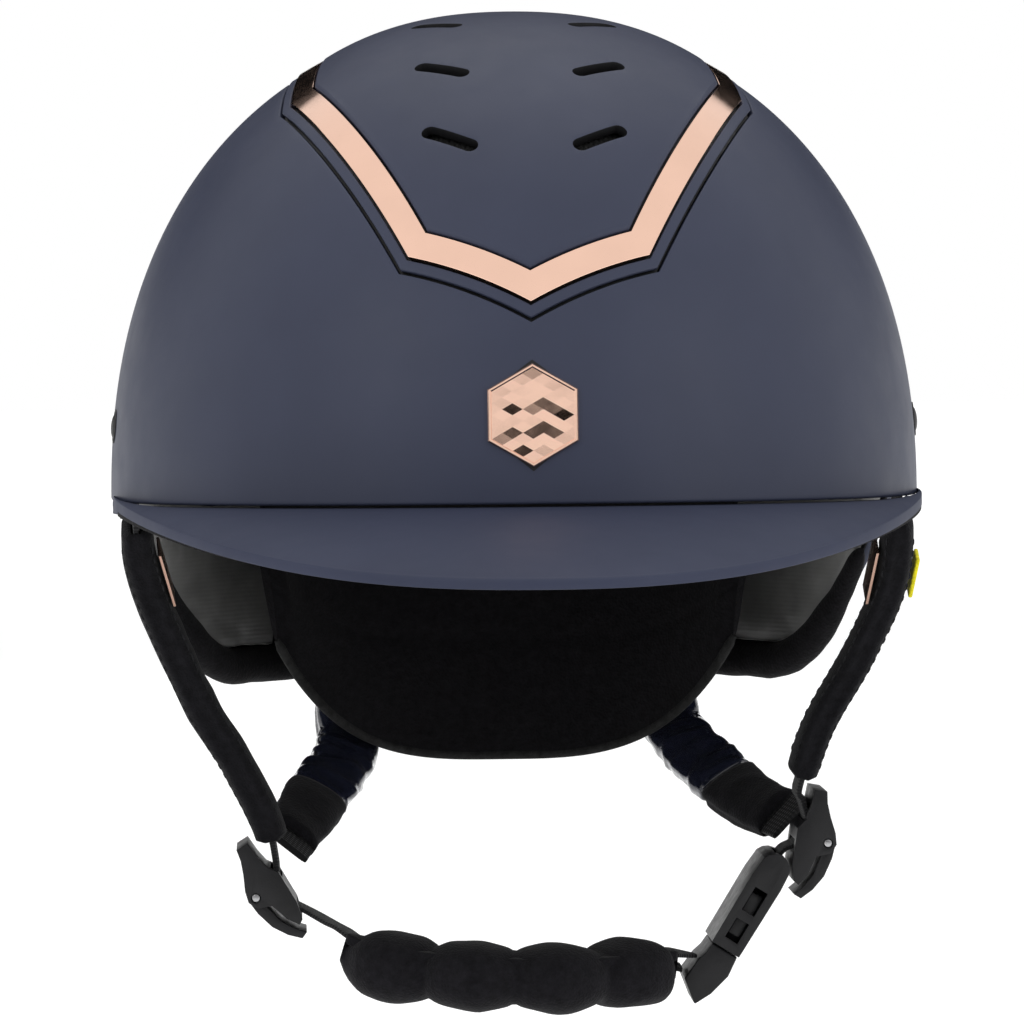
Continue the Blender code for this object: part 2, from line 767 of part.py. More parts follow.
def peak_line(turn, t, sink):
    """A point on the peak's top face, t of the way from the seam to the edge, lowered by sink."""
    phi = turn * PEAK_SPREAD / 90.0
    root = place(phi, rim_run(phi))
    root.z -= 2 * GAP
    edge = peak_edge(turn)
    p = root.lerp(edge, t)
    swell = PEAK_CROWN * math.cos(math.radians(PEAK_FADE * turn)) * 4 * t * (1 - t)
    return p + Vector((0.0, 0.0, swell - sink))


def peak_section(turn, begin, end, top, bottom, steps):
    shares = [begin + (end - begin) * i / steps for i in range(steps + 1)]
    upper = [peak_line(turn, t, top) for t in shares]
    lower = [peak_line(turn, t, bottom) for t in reversed(shares)]
    return upper, lower


def make_peak():
    sections = []
    turns = [90.0 * math.sin(math.radians(-90 + 180 * i / 32)) for i in range(33)]
    for turn in turns:
        upper, lower = peak_section(turn, 0.0, 1.0, 0.0, PEAK_WALL, 4)
        phi = turn * PEAK_SPREAD / 90.0
        inner = place(phi, rim_run(phi), -SHELL_WALL)
        inner.z -= 2 * GAP
        nose = (upper[-1] + lower[0]) / 2 + (upper[-1] - upper[-2]).normalized() * PEAK_WALL * 0.25
        sections.append([inner] + upper + [nose] + lower + [inner - Vector((0.0, 0.0, PEAK_WALL))])
    solid("peak", *loft(sections), "peak_navy")
    sections = []
    for i in range(25):
        turn = (-90 + 180 * i / 24) * (1 - LINING_MARGIN * 1.6)
        top = PEAK_WALL + GAP
        upper, lower = peak_section(turn, LINING_MARGIN, 1 - LINING_MARGIN, top, top + LINING_WALL, 4)
        sections.append(upper + lower)
    solid("peak_lining", *loft(sections), "black_fabric")


# ---- rear padding --------------------------------------------------------------------------------------


def make_side_panels():
    high = -(SHELL_WALL + LINER_GAP)
    belly = lambda t: high - SIDE_PANEL_WALL * (0.45 + 0.55 * math.sin(math.pi * t))
    for sign, side in ((-1, "left"), (1, "right")):
        begin, end = (sign * turn for turn in SIDE_PANEL_SPAN)
        starts = around(10, lambda phi: liner_run(phi) + 0.0015, begin, end)
        ends = around(10, lambda phi: rim_run(phi) - 0.0010, begin, end)
        panel = dome_band(starts, ends, belly, flat(high), 4, closed=False)
        solid(f"side_panel_{side}", *panel, "grey_lining")


def rim_frame(phi):
    """(point under the shell's edge, outward, along the rim, down and clear of the edge)."""
    point = place(phi, rim_run(phi), -SHELL_WALL - 0.0018)
    out = (place(phi, rim_run(phi), 0.001) - place(phi, rim_run(phi))).normalized()
    along = (place(phi + 0.5, rim_run(phi + 0.5)) - place(phi - 0.5, rim_run(phi - 0.5))).normalized()
    down = along.cross(out)
    return point, out, along, down if down.z < 0 else -down


def make_rolls():
    """The padded roll along the rear of the rim, in two halves that meet at the back."""
    for sign, side in ((-1, "left"), (1, "right")):
        sections = []
        for i in range(16):
            phi = sign * (ROLL_SPAN[0] + (ROLL_SPAN[1] - ROLL_SPAN[0]) * i / 15)
            point, out, _, down = rim_frame(phi)
            grow = 0.55 + 0.45 * ease(i / 4)
            centre = point + down * (ROLL_SEMI[1] * grow + 2 * GAP)
            outline = oval(10, ROLL_SEMI[0] * grow, ROLL_SEMI[1] * grow, 2.2)
            sections.append([centre + out * x + down * y for x, y in outline])
        solid(f"rear_roll_{side}", *loft(sections), "black_fabric")


def cradle_low(phi):
    """The height of the nape cradle's lower edge: level at the back, rising to its ends."""
    share = abs(phi - 180.0) / CRADLE_SPAN
    return CRADLE_TOP - CRADLE_DEPTH + CRADLE_CORNER * share**3


def on_cradle(phi, t, inward=0.0):
    """A point on the cradle's outer face at a share of the way down, moved inwards."""
    height = CRADLE_TOP + (cradle_low(phi) - CRADLE_TOP) * t
    return on_level(phi, height, CRADLE_INSET + CRADLE_LEAN * t + inward)


def below_cradle(phi, clear):
    """A point off the middle of the cradle's lower edge, away from it along the cradle's own slope."""
    inward = CRADLE_WALL * 0.225
    edge = on_cradle(phi, 1.0, inward)
    along = (on_cradle(phi + 1, 1.0, inward) - on_cradle(phi - 1, 1.0, inward)).normalized()
    slope = on_cradle(phi, 1.0, inward) - on_cradle(phi, 0.8, inward)
    return edge + (slope - along * slope.dot(along)).normalized() * clear


def make_nape_cradle():
    phis = [180.0 - CRADLE_SPAN + 2 * CRADLE_SPAN * i / 16 for i in range(17)]
    rows = [i / 5 for i in range(6)]
    sections = []
    for phi in phis:
        outer = [on_cradle(phi, t) for t in rows]
        walls = [(t, CRADLE_WALL * (0.45 + 0.55 * math.sin(math.pi * t))) for t in reversed(rows)]
        inner = [on_cradle(phi, t, wall) for t, wall in walls]
        sections.append(outer + inner)
    solid("nape_cradle", *loft(sections), "black_fabric")
    route = [below_cradle(phi, BINDING_RADIUS + 2 * GAP) for phi in phis]
    binding = [turned_loop(route, i, BINDING_RADIUS, 8) for i in range(len(route))]
    solid("nape_binding", *loft(binding), "grey_lining")


def make_lace():
    """The adjuster lace, to and fro across the back of the cradle."""
    points = []
    for i in range(LACE_CROSSINGS + 1):
        t = 0.12 + 0.70 * i / LACE_CROSSINGS
        phi = 180.0 + (LACE_HALF_WIDTH if i % 2 else -LACE_HALF_WIDTH)
        points.append(on_cradle(phi, t, -LACE_RADIUS - 5 * GAP))
    route = smooth_route(points, 0.005)
    solid("nape_lace", *loft([turned_loop(route, i, LACE_RADIUS, 6) for i in range(len(route))]), "webbing")


def turned_loop(route, i, radius, sides):
    """A circle round a route at its point i."""
    along = (route[min(i + 1, len(route) - 1)] - route[max(i - 1, 0)]).normalized()
    side = along.cross(Vector((0.0, 0.0, 1.0)))
    side = side.normalized() if side.length > 0.2 else along.orthogonal().normalized()
    up = along.cross(side)
    turns = [2 * math.pi * k / sides for k in range(sides)]
    return [route[i] + side * math.cos(a) * radius + up * math.sin(a) * radius for a in turns]


# ---- rivets and straps ---------------------------------------------------------------------------------


def front_anchor(side):
    return place(side * FRONT_RIVET[0], run_at(EQUATOR + FRONT_RIVET[1]), FRONT_STRAP_LIFT)


def make_rivets():
    for name, point, out, end in rivet_places():
        strap_lift = FRONT_STRAP_LIFT if end == "front" else REAR_STRAP_LIFT
        tip = strap_lift + WEBBING[1] / 2 + 3 * GAP
        head = -(RIVET_SINK + RIVET_HEAD)
        profile = [
            (tip, RIVET_SHANK_RADIUS),
            (head, RIVET_SHANK_RADIUS),
            (head, RIVET_HEAD_RADIUS),
            (-RIVET_SINK - 0.0004, RIVET_HEAD_RADIUS),
            (-RIVET_SINK, RIVET_HEAD_RADIUS - 0.0006),
        ]
        solid(name, *turned(point, out, profile, 16), "black_plastic")


def divider_frame(centre, down, side):
    """(origin, down the divider, along its width, outwards)."""
    across = Vector((0.0, 1.0, 0.0))
    out = down.cross(across) * (1 if down.cross(across).x * side > 0 else -1)
    return centre, down, across, out


def tilted(frame, at, along):
    """A frame at a place in another one, turned so that its first direction is along."""
    origin, down, across, out = frame
    first = (down * along[0] + out * along[1]).normalized()
    return origin + down * at[0] + out * at[1], first, across, first.cross(across)


def make_front_strap(side, name, route, frame, strap_slot, sleeve_end):
    anchor = front_anchor(side)
    above = anchor + Vector((0.0, 0.0, WEBBING[0] / 2))
    slot = tilted(frame, *strap_slot)
    path = [above, anchor - Vector((0.0, 0.0, 0.006))] + route
    path = smooth_route(path + [slot[0] - slot[1] * 0.004, slot[0] + slot[1] * STRAP_REACH], 0.009)
    frames = strap_frames(path, [(0, 1, 0), (0, 1, 0)])
    solid(f"front_strap_{name}", *webbing(frames, WEBBING), "webbing")
    below = [f for f in frames if sleeve_end < f[0].z < SLEEVE_START]
    swell = [0.82 + 0.18 * ease(min(i, len(below) - 1 - i) / 2) for i in range(len(below))]
    solid(f"front_sleeve_{name}", *sleeve(below, FRONT_SLEEVE, strap_bore(), swell=swell), "black_fabric")
    return below


def strap_bore():
    return WEBBING[0] + 2 * SLEEVE_CLEARANCE, WEBBING[1] + 2 * SLEEVE_CLEARANCE


def make_rear_strap(side, name, nape, route):
    """A rear strap from its rivet, under the cradle and forward to just behind its divider."""
    run = run_at(EQUATOR + REAR_RIVET[1])
    phi = side * REAR_RIVET[0]
    starts = [place(phi, run + down, REAR_STRAP_LIFT) for down in (-WEBBING[0] / 2, 0.0, REAR_STRAP_UNDER)]
    beside = [on_level(side * turn, EQUATOR - below, CRADLE_INSET - out) for turn, below, out in nape]
    path = smooth_route(starts + beside + route, 0.006)
    hints = [(0.86, -side * 0.40, 0.0), (0.88, -side * 0.40, 0.0), (0.90, -side * 0.30, 0.0)]
    hints += [(0.93, 0.0, side * 0.35), (0.9, 0.0, side * 0.5), (0.75, 0.0, side * 0.6)]
    frames = strap_frames(path, hints)
    solid(f"rear_strap_{name}", *webbing(frames, WEBBING), "webbing")
    covered = [i for i, f in enumerate(frames) if f[0].z < REAR_TUBE_START]
    turn = covered[0] + round(len(covered) * REAR_TUBE_SHARE)
    tube = frames[covered[0] : turn + 1]
    swell = [1.0 + 0.05 * math.sin(2.1 * i) for i in range(len(tube))]
    solid(f"rear_sleeve_{name}", *sleeve(tube, REAR_SLEEVE, strap_bore(), swell=swell), "patent")
    step = (frames[turn + 1][0] - frames[turn][0]).normalized() * GAP
    first = (frames[turn][0] + step, frames[turn][1], frames[turn][2])
    cuff = [first] + frames[turn + 1 : -1]
    swell = [1.0 - 0.18 * ease(i / (len(cuff) - 1)) for i in range(len(cuff))]
    solid(f"rear_cuff_{name}", *sleeve(cuff, REAR_CUFF, strap_bore(), swell=swell), "black_fabric")


def make_tag(name, colour, below, side, size):
    """A thin tag on a front sleeve near its top: side is the way it faces, towards -X or +X."""
    p, across, normal = below[1]
    q = below[2][0]
    facing = normal if normal.x * side > 0 else -normal
    along = (q - p).normalized()
    centre = p.lerp(q, 0.5) + facing * (FRONT_SLEEVE[1] / 2 + 3 * GAP)
    width, length, wall = size
    profile = [(-length / 2, 0.0), (length / 2, 0.0), (length / 2, wall), (-length / 2, wall)]
    solid(name, *prism(profile, (centre, along, across, facing), -width / 2, width / 2), colour, smooth=False)


# ---- dividers ------------------------------------------------------------------------------------------

BASE_PROFILE = [
    (-0.0145, -0.0012),
    (-0.0145, 0.0022),
    (-0.0115, 0.0028),
    (-0.0080, 0.0042),
    (-0.0040, 0.0062),
    (-0.0010, 0.0070),
    (0.0016, 0.0058),
    (0.0030, 0.0022),
    (0.0080, 0.0008),
    (0.0112, -0.0012),
    (0.0104, -0.0026),
    (0.0060, -0.0038),
    (-0.0036, -0.0040),
    (-0.0064, -0.0020),
    (-0.0100, -0.0014),
]
LEFT_STRAP_SLOT = ((-0.0030, -0.0030), (0.875, 0.484))
RIGHT_STRAP_SLOT = ((-0.0072, -0.0016), (0.90, 0.43))
STRAP_REACH = 0.0030
LEFT_WEB_SLOT = ((0.0048, -0.0014), (0.86, -0.51))
RIGHT_WEB_SLOT = ((-0.0001, -0.0020), (0.63, -0.78))
LEVER_OUTER = [(0.0030, 0.0066), (0.0080, 0.0053), (0.0120, 0.0029), (0.0148, 0.0002)]
LEVER_INNER = [(0.0140, -0.0018), (0.0115, 0.0004), (0.0080, 0.0024), (0.0030, 0.0035)]


def pin_point(frame):
    origin, down, _, out = frame
    return origin + down * LEVER_PIN[0] + out * LEVER_PIN[1]


def lever_profile():
    """The cam lever: a barrel round the pin, running out into a curved finger plate."""
    barrel = []
    for i in range(9):
        a = math.radians(290 - 25 * i)
        barrel.append((LEVER_PIN[0] + LEVER_BARREL * math.cos(a), LEVER_PIN[1] + LEVER_BARREL * math.sin(a)))
    return barrel + LEVER_OUTER + LEVER_INNER


def make_divider(name, frame, strap_slot, web_slot):
    pin = pin_point(frame)
    across = frame[2]
    half = DIVIDER_HALF_WIDTH
    base = solid(f"divider_{name}", *prism(BASE_PROFILE, frame, -half, half), "black_plastic")
    room = half - CHEEK
    clear = LEVER_BARREL + GAP
    space = [(LEVER_PIN[0] - clear, 0.0020), (0.020, 0.0020), (0.020, 0.012), (LEVER_PIN[0] - clear, 0.012)]
    carve(base, *prism(space, frame, -room, room), "lever")
    carve(base, *rod(pin - across * 0.02, pin + across * 0.02, PIN_RADIUS + PIN_CLEARANCE), "pin")
    half_slot, thick = (size / 2 for size in strap_bore())
    low, high = (-0.012, -half_slot, -thick), (STRAP_REACH + GAP, half_slot, thick)
    carve(base, *box_in(tilted(frame, *strap_slot), low, high), "strap_slot")
    low, high = (-0.0024, -half_slot, -thick), (0.012, half_slot, thick)
    carve(base, *box_in(tilted(frame, *web_slot), low, high), "web_slot")
    reach = room - GAP
    lever = solid(
        f"divider_lever_{name}", *prism(lever_profile(), frame, -reach, reach), "black_plastic", origin=pin
    )
    carve(lever, *rod(pin - across * 0.02, pin + across * 0.02, PIN_RADIUS + PIN_CLEARANCE), "pin")
    end = across * (half - GAP)
    solid(f"lever_pin_{name}", *rod(pin - end, pin + end, PIN_RADIUS, 16), "steel")


# ---- chin strap and buckle -----------------------------------------------------------------------------


def buckle_frame():
    across = Vector((0.0, 1.0, 0.0))
    return BUCKLE_MOUTH, BUCKLE_UP, across, BUCKLE_UP.cross(across)


def make_buckle_female(frame):
    t = BUCKLE_HALF_THICKNESS
    profile = [(GAP / 2, -t), (GAP / 2, t), (BUCKLE_LENGTH - 0.004, t + 0.0002)]
    for i in range(7):
        a = math.radians(72 - 24 * i)
        profile.append((BUCKLE_LENGTH + t * math.cos(a), t * math.sin(a)))
    profile.append((BUCKLE_LENGTH - 0.004, -t - 0.0002))
    w = BUCKLE_HALF_WIDTH
    body = solid("buckle_female", *prism(profile, frame, -w, w), "black_plastic")
    c = CAVITY_HALF_THICKNESS
    room = w - BUCKLE_WALL
    carve(body, *box_in(frame, (-0.004, -room, -c), (CAVITY_DEPTH, room, c)), "cavity")
    for label, low, high in (("lower", 0.0030, 0.0090), ("upper", 0.0115, 0.0185)):
        carve(body, *box_in(frame, (low, -w - 0.003, -0.0019), (high, w + 0.003, 0.0019)), f"window_{label}")
    half_slot, thick = (size / 2 for size in strap_bore())
    low, high = (CAVITY_DEPTH + 0.0022, -half_slot, -thick), (BUCKLE_LENGTH + 0.010, half_slot, thick)
    carve(body, *box_in(frame, low, high), "web_slot")


MALE_PROFILE = [
    (-0.00015, -0.0040),
    (-0.00015, 0.0036),
    (-0.0030, 0.0038),
    (-0.0058, 0.0046),
    (-0.0121, 0.0052),
    (-0.0166, -0.0008),
    (-0.0120, -0.0031),
    (-0.0057, -0.0046),
]


def make_buckle_male(frame):
    half = BUCKLE_HALF_WIDTH - 0.0015
    base = solid("buckle_male", *prism(MALE_PROFILE, frame, -half, half), "black_plastic")
    low, high = (-0.002, -0.0022, -0.0016), (CAVITY_DEPTH - 0.002, 0.0022, 0.0016)
    carve(base, *box_in(frame, low, high), "tongue", "UNION")


def make_latches(frame):
    """The two sprung arms, one at each edge, that are squeezed together to let the buckle go."""
    origin, up, across, out = frame
    outer = BUCKLE_HALF_WIDTH - BUCKLE_WALL - GAP - 0.0001
    web = outer - 0.0022
    start = 0.0002
    profile = [
        (start, web - LATCH_WALL),
        (LATCH_LENGTH - 0.001, web - LATCH_WALL),
        (LATCH_LENGTH, web - LATCH_WALL + 0.001),
        (LATCH_LENGTH, outer - 0.0010),
        (LATCH_LENGTH - 0.0035, outer),
        (0.0045, outer),
        (0.0030, web),
        (start, web),
    ]
    for sign, name in ((-1, "front"), (1, "rear")):
        sections = []
        for h in (-0.0018, 0.0018):
            sections.append([origin + up * p + across * (sign * q) + out * h for p, q in profile])
        pivot = origin + up * (start + 0.0008) + across * (sign * (web - LATCH_WALL / 2))
        solid(f"buckle_latch_{name}", *loft(sections), "black_plastic", origin=pivot)


def lobes(share):
    """How full the chin pad is at a share of its length: full on each lobe, pinched between lobes and at ends."""
    wave = abs(math.sin(math.pi * PAD_LOBES * share))
    ends = ease(min(share, 1 - share) / 0.06)
    return (0.86 + 0.14 * wave**0.6) * (0.74 + 0.26 * ends)


def web_frames(route):
    return strap_frames(route, [(0, 1, 0), (0, 1, 0)])


def make_chin_strap(left, buckle):
    """The webbing from the left divider to the male half, opened near the divider, and what rides on it."""
    slot = tilted(left, *LEFT_WEB_SLOT)
    route = [slot[0] + slot[1] * along for along in (-0.0020, 0.0045, 0.0075)]
    route = smooth_route(route + [Vector(p) for p in CHIN_ROUTE], 0.0005)
    solid("web_tab_left", *webbing(web_frames(trimmed(route, 0.0, TAB_END, 0.004)), CHIN_WEBBING), "webbing")
    frames = web_frames(trimmed(route, TAB_END + 2 * GAP, 0.0, 0.005))
    solid("chin_webbing", *webbing(frames, CHIN_WEBBING), "webbing")
    covered = [(p, w, n if n.z > 0 else -n) for p, w, n in frames if PAD_REACH[0] < p.x < PAD_REACH[1]]
    swell = [lobes(i / (len(covered) - 1)) for i in range(len(covered))]
    solid("chin_pad", *sleeve(covered, PAD_SECTION, PAD_SLOT, drop=PAD_DROP, swell=swell), "black_fabric")
    tail = smooth_route(TAIL_ROUTE, 0.004)
    solid("webbing_tail", *webbing(web_frames(tail), CHIN_WEBBING), "webbing")
    make_buckle_male(buckle)
    make_latches(buckle)


def make_female_web(right, buckle):
    """The short webbing from the right divider into the top of the female half."""
    origin, up, _, _ = buckle
    slot = tilted(right, *RIGHT_WEB_SLOT)
    mouth = origin + up * (BUCKLE_LENGTH + BUCKLE_HALF_THICKNESS + 0.0006)
    inside = origin + up * (CAVITY_DEPTH + 0.0030)
    route = smooth_route([slot[0] - slot[1] * 0.0018, slot[0] + slot[1] * 0.0022, mouth, inside], 0.0025)
    solid("web_tab_right", *webbing(web_frames(route), CHIN_WEBBING), "webbing")


def main():
    clear_scene()
    make_shell()
    make_badge()
    make_panel()
    make_panel_surround()
    make_liner()
    make_headband()
    make_crown_pad()
    make_peak()
    make_side_panels()
    make_rolls()
    make_nape_cradle()
    make_lace()
    make_rivets()
    left = divider_frame(LEFT_DIVIDER, LEFT_DIVIDER_DOWN, -1)
    right = divider_frame(RIGHT_DIVIDER, RIGHT_DIVIDER_DOWN, 1)
    left_sleeve = make_front_strap(-1, "left", LEFT_FRONT_ROUTE, left, LEFT_STRAP_SLOT, LEFT_SLEEVE_END)
    right_sleeve = make_front_strap(1, "right", RIGHT_FRONT_ROUTE, right, RIGHT_STRAP_SLOT, RIGHT_SLEEVE_END)
    make_tag("anchor_plate_left", "rose_gold", left_sleeve, 1, ANCHOR_PLATE)
    make_tag("anchor_plate_right", "rose_gold", right_sleeve, -1, ANCHOR_PLATE)
    make_tag("size_label", "yellow", right_sleeve, 1, LABEL)
    make_rear_strap(-1, "left", LEFT_NAPE_ROUTE, LEFT_REAR_ROUTE)
    make_rear_strap(1, "right", RIGHT_NAPE_ROUTE, RIGHT_REAR_ROUTE)
    make_divider("left", left, LEFT_STRAP_SLOT, LEFT_WEB_SLOT)
    make_divider("right", right, RIGHT_STRAP_SLOT, RIGHT_WEB_SLOT)
    buckle = buckle_frame()
    make_buckle_female(buckle)
    make_chin_strap(left, buckle)
    make_female_web(right, buckle)


main()
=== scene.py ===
"""Looks for the riding helmet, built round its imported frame. Metres, +Z up, the front towards -Y."""

import math

import bmesh
import bpy
import numpy as np
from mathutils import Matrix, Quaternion, Vector, noise


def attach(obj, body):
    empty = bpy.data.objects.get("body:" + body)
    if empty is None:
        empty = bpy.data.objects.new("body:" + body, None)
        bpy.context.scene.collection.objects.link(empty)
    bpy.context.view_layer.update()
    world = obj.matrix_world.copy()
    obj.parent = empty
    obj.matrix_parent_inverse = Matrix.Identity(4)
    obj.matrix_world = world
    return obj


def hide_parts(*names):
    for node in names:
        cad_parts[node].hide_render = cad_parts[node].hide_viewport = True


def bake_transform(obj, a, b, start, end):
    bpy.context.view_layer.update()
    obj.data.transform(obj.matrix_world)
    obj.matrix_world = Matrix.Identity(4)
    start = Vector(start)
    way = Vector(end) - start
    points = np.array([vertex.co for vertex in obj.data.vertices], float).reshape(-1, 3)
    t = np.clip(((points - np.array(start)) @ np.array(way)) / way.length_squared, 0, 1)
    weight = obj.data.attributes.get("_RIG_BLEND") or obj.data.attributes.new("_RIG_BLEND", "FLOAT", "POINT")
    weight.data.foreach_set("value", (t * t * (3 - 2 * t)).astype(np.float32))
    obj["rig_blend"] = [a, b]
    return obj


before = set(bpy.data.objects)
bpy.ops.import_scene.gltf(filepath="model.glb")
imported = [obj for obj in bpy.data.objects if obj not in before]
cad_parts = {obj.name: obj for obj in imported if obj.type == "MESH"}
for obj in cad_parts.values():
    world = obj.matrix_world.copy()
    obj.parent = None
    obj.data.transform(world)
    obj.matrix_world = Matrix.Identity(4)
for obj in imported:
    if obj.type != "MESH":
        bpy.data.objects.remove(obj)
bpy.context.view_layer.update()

# ---- dimensions, as in the CAD model ----

SHELL_HALF_WIDTH = 0.1058
SHELL_FRONT = 0.126
SHELL_REAR = 0.132
CROWN_HEIGHT = 0.030
DOME_DEPTH = 0.1245
DOME_POWER = 2.22
PLAN_POWER = 2.15
SKIRT_TUCK = 23.5
SHELL_WALL = 0.003
LINER_SKIN = 0.0039
LINER_WALL = 0.0217
GAP = 0.0003
EQUATOR = CROWN_HEIGHT - DOME_DEPTH
MEAN_RADIUS = (2 * SHELL_HALF_WIDTH + SHELL_FRONT + SHELL_REAR) / 4

NAPE_DROP = 0.046
NAPE_TURN = (98.0, 136.0)
LINER_RISE = (0.0065, 0.036)

PANEL_TIP = 0.134
PANEL_SHOULDER = (0.028, 0.1205)
PANEL_SIDE = (0.0550, 0.048)
PANEL_LIFT = (0.0010, 0.0026)
TRIM_WIDTH = 0.0078
BEZEL_WIDTH = 0.0042
EDGE_STEPS = (3, 5, 10, 5, 3)
SEAT_LIFT = -0.0009

VENT_LENGTH = 0.016
VENT_WIDTH = 0.0042
VENT_OFFSET = 0.019
VENT_ROWS = (0.034, 0.0665, 0.0945)
VENT_TURN = 34.0

BADGE_FLATS = 0.022
BADGE_RUN = 0.1705

PEAK_TIP = 0.182
PEAK_HALF_WIDTH = 0.1045
PEAK_BACK = 0.021
PEAK_DROP = 0.0154
PEAK_WALL = 0.0026
PEAK_CROWN = 0.0022
PEAK_FADE = 0.82
PEAK_SPREAD = 80.0
PEAK_SIDE_POWER = 2.6
LINING_MARGIN = 0.07

HEADBAND_WALL = 0.003
HEADBAND_HEIGHT = 0.027
HEADBAND_GAP = 0.0008
CROWN_PAD_RADIUS = 0.030
PIPING_RADIUS = 0.0013
LACE_RADIUS = 0.0010

ROLL_SPAN = (113.0, 179.8)
ROLL_SEMI = (0.0042, 0.0050)
SIDE_PANEL_SPAN = (104.0, 145.0)
SIDE_PANEL_WALL = 0.0045
CRADLE_SPAN = 47.0
CRADLE_WALL = 0.006
CRADLE_INSET = 0.025
CRADLE_LEAN = 0.002
CRADLE_TOP = -0.1065
CRADLE_DEPTH = 0.0625
CRADLE_CORNER = 0.034
LACE_HALF_WIDTH = 7.5
LACE_CROSSINGS = 6

WEBBING = (0.0144, 0.0018)
CHIN_WEBBING = (0.0144, 0.0014)
FRONT_SLEEVE = (0.0184, 0.0084)
REAR_SLEEVE = (0.0176, 0.0082)
REAR_CUFF = (0.0184, 0.0094)
BORE = (0.0150, 0.0026)
PAD_SECTION = (0.0275, 0.0185)
PAD_SLOT = (0.0180, 0.0030)
PAD_DROP = 0.0045
PAD_LOBES = 4
PAD_REACH = (-0.0410, 0.0375)
FRONT_RIVET = (80.0, -0.075)
REAR_RIVET = (155.0, -0.117)
REAR_STRAP_LIFT = -0.0145
FRONT_STRAP_LIFT = -0.0058
SLEEVE_START = -0.0995
REAR_TUBE_START = -0.153
REAR_TUBE_SHARE = 0.60
REAR_STRAP_UNDER = 0.030

LEFT_SLEEVE_END = -0.1865
RIGHT_SLEEVE_END = -0.1700
STRAP_STEP = 0.0011

HARNESS_Y = 0.010
LEFT_DIVIDER = Vector((-0.0644, HARNESS_Y, -0.19875))
RIGHT_DIVIDER = Vector((0.0780, HARNESS_Y, -0.1879))
LEFT_DIVIDER_DOWN = Vector((0.530, 0.0, -0.848)).normalized()
RIGHT_DIVIDER_DOWN = Vector((-0.175, 0.0, -0.985)).normalized()
BUCKLE_MOUTH = Vector((0.0551, HARNESS_Y, -0.2156))
BUCKLE_UP = Vector((0.530, 0.0, 0.848)).normalized()
LEFT_STRAP_SLOT = ((-0.0030, -0.0030), (0.875, 0.484))
RIGHT_STRAP_SLOT = ((-0.0072, -0.0016), (0.90, 0.43))
LEFT_WEB_SLOT = ((0.0048, -0.0014), (0.86, -0.51))
RIGHT_WEB_SLOT = ((-0.0001, -0.0020), (0.63, -0.78))

LEFT_FRONT_ROUTE = [
    (-0.0992, -0.0130, -0.098),
    (-0.0968, -0.0060, -0.116),
    (-0.0852, 0.0030, -0.145),
    (-0.0740, 0.0080, -0.165),
    (-0.0660, 0.0097, -0.181),
]
RIGHT_FRONT_ROUTE = [
    (0.1004, -0.0130, -0.098),
    (0.0995, -0.0060, -0.117),
    (0.0920, 0.0010, -0.1365),
    (0.0815, 0.0070, -0.156),
    (0.0758, 0.0097, -0.173),
]
LEFT_REAR_ROUTE = [
    (-0.0445, 0.0930, -0.1600),
    (-0.0440, 0.0800, -0.1685),
    (-0.0545, 0.0440, -0.1805),
    (-0.0610, 0.0220, -0.1885),
]
RIGHT_REAR_ROUTE = [
    (0.0475, 0.0930, -0.1580),
    (0.0495, 0.0800, -0.1650),
    (0.0640, 0.0420, -0.1785),
    (0.0750, 0.0220, -0.1830),
]
CHIN_ROUTE = [
    (-0.0470, 0.0045, -0.2090),
    (-0.0380, -0.0020, -0.2130),
    (-0.0200, -0.0100, -0.2153),
    (0.0, -0.0125, -0.2165),
    (0.0185, -0.0095, -0.2169),
    (0.0300, -0.0020, -0.2166),
    (0.0380, 0.0045, -0.2168),
    (0.0442, 0.0085, -0.2173),
]
TAIL_ROUTE = [(0.0395, 0.0095, -0.2203), (0.0440, 0.0095, -0.2214)]

# ---- the camera and the floor ----

CAMERA_TURN = (2.0, -2.3, 0.5)
CAMERA_TARGET = Vector((-0.0003, 0.0, -0.099))
CAMERA_DISTANCE = 1.5
CAMERA_LENS = 199.6
FLOOR_HEIGHT = -0.300
FLOOR_REACH = 14.0

# ---- materials ----


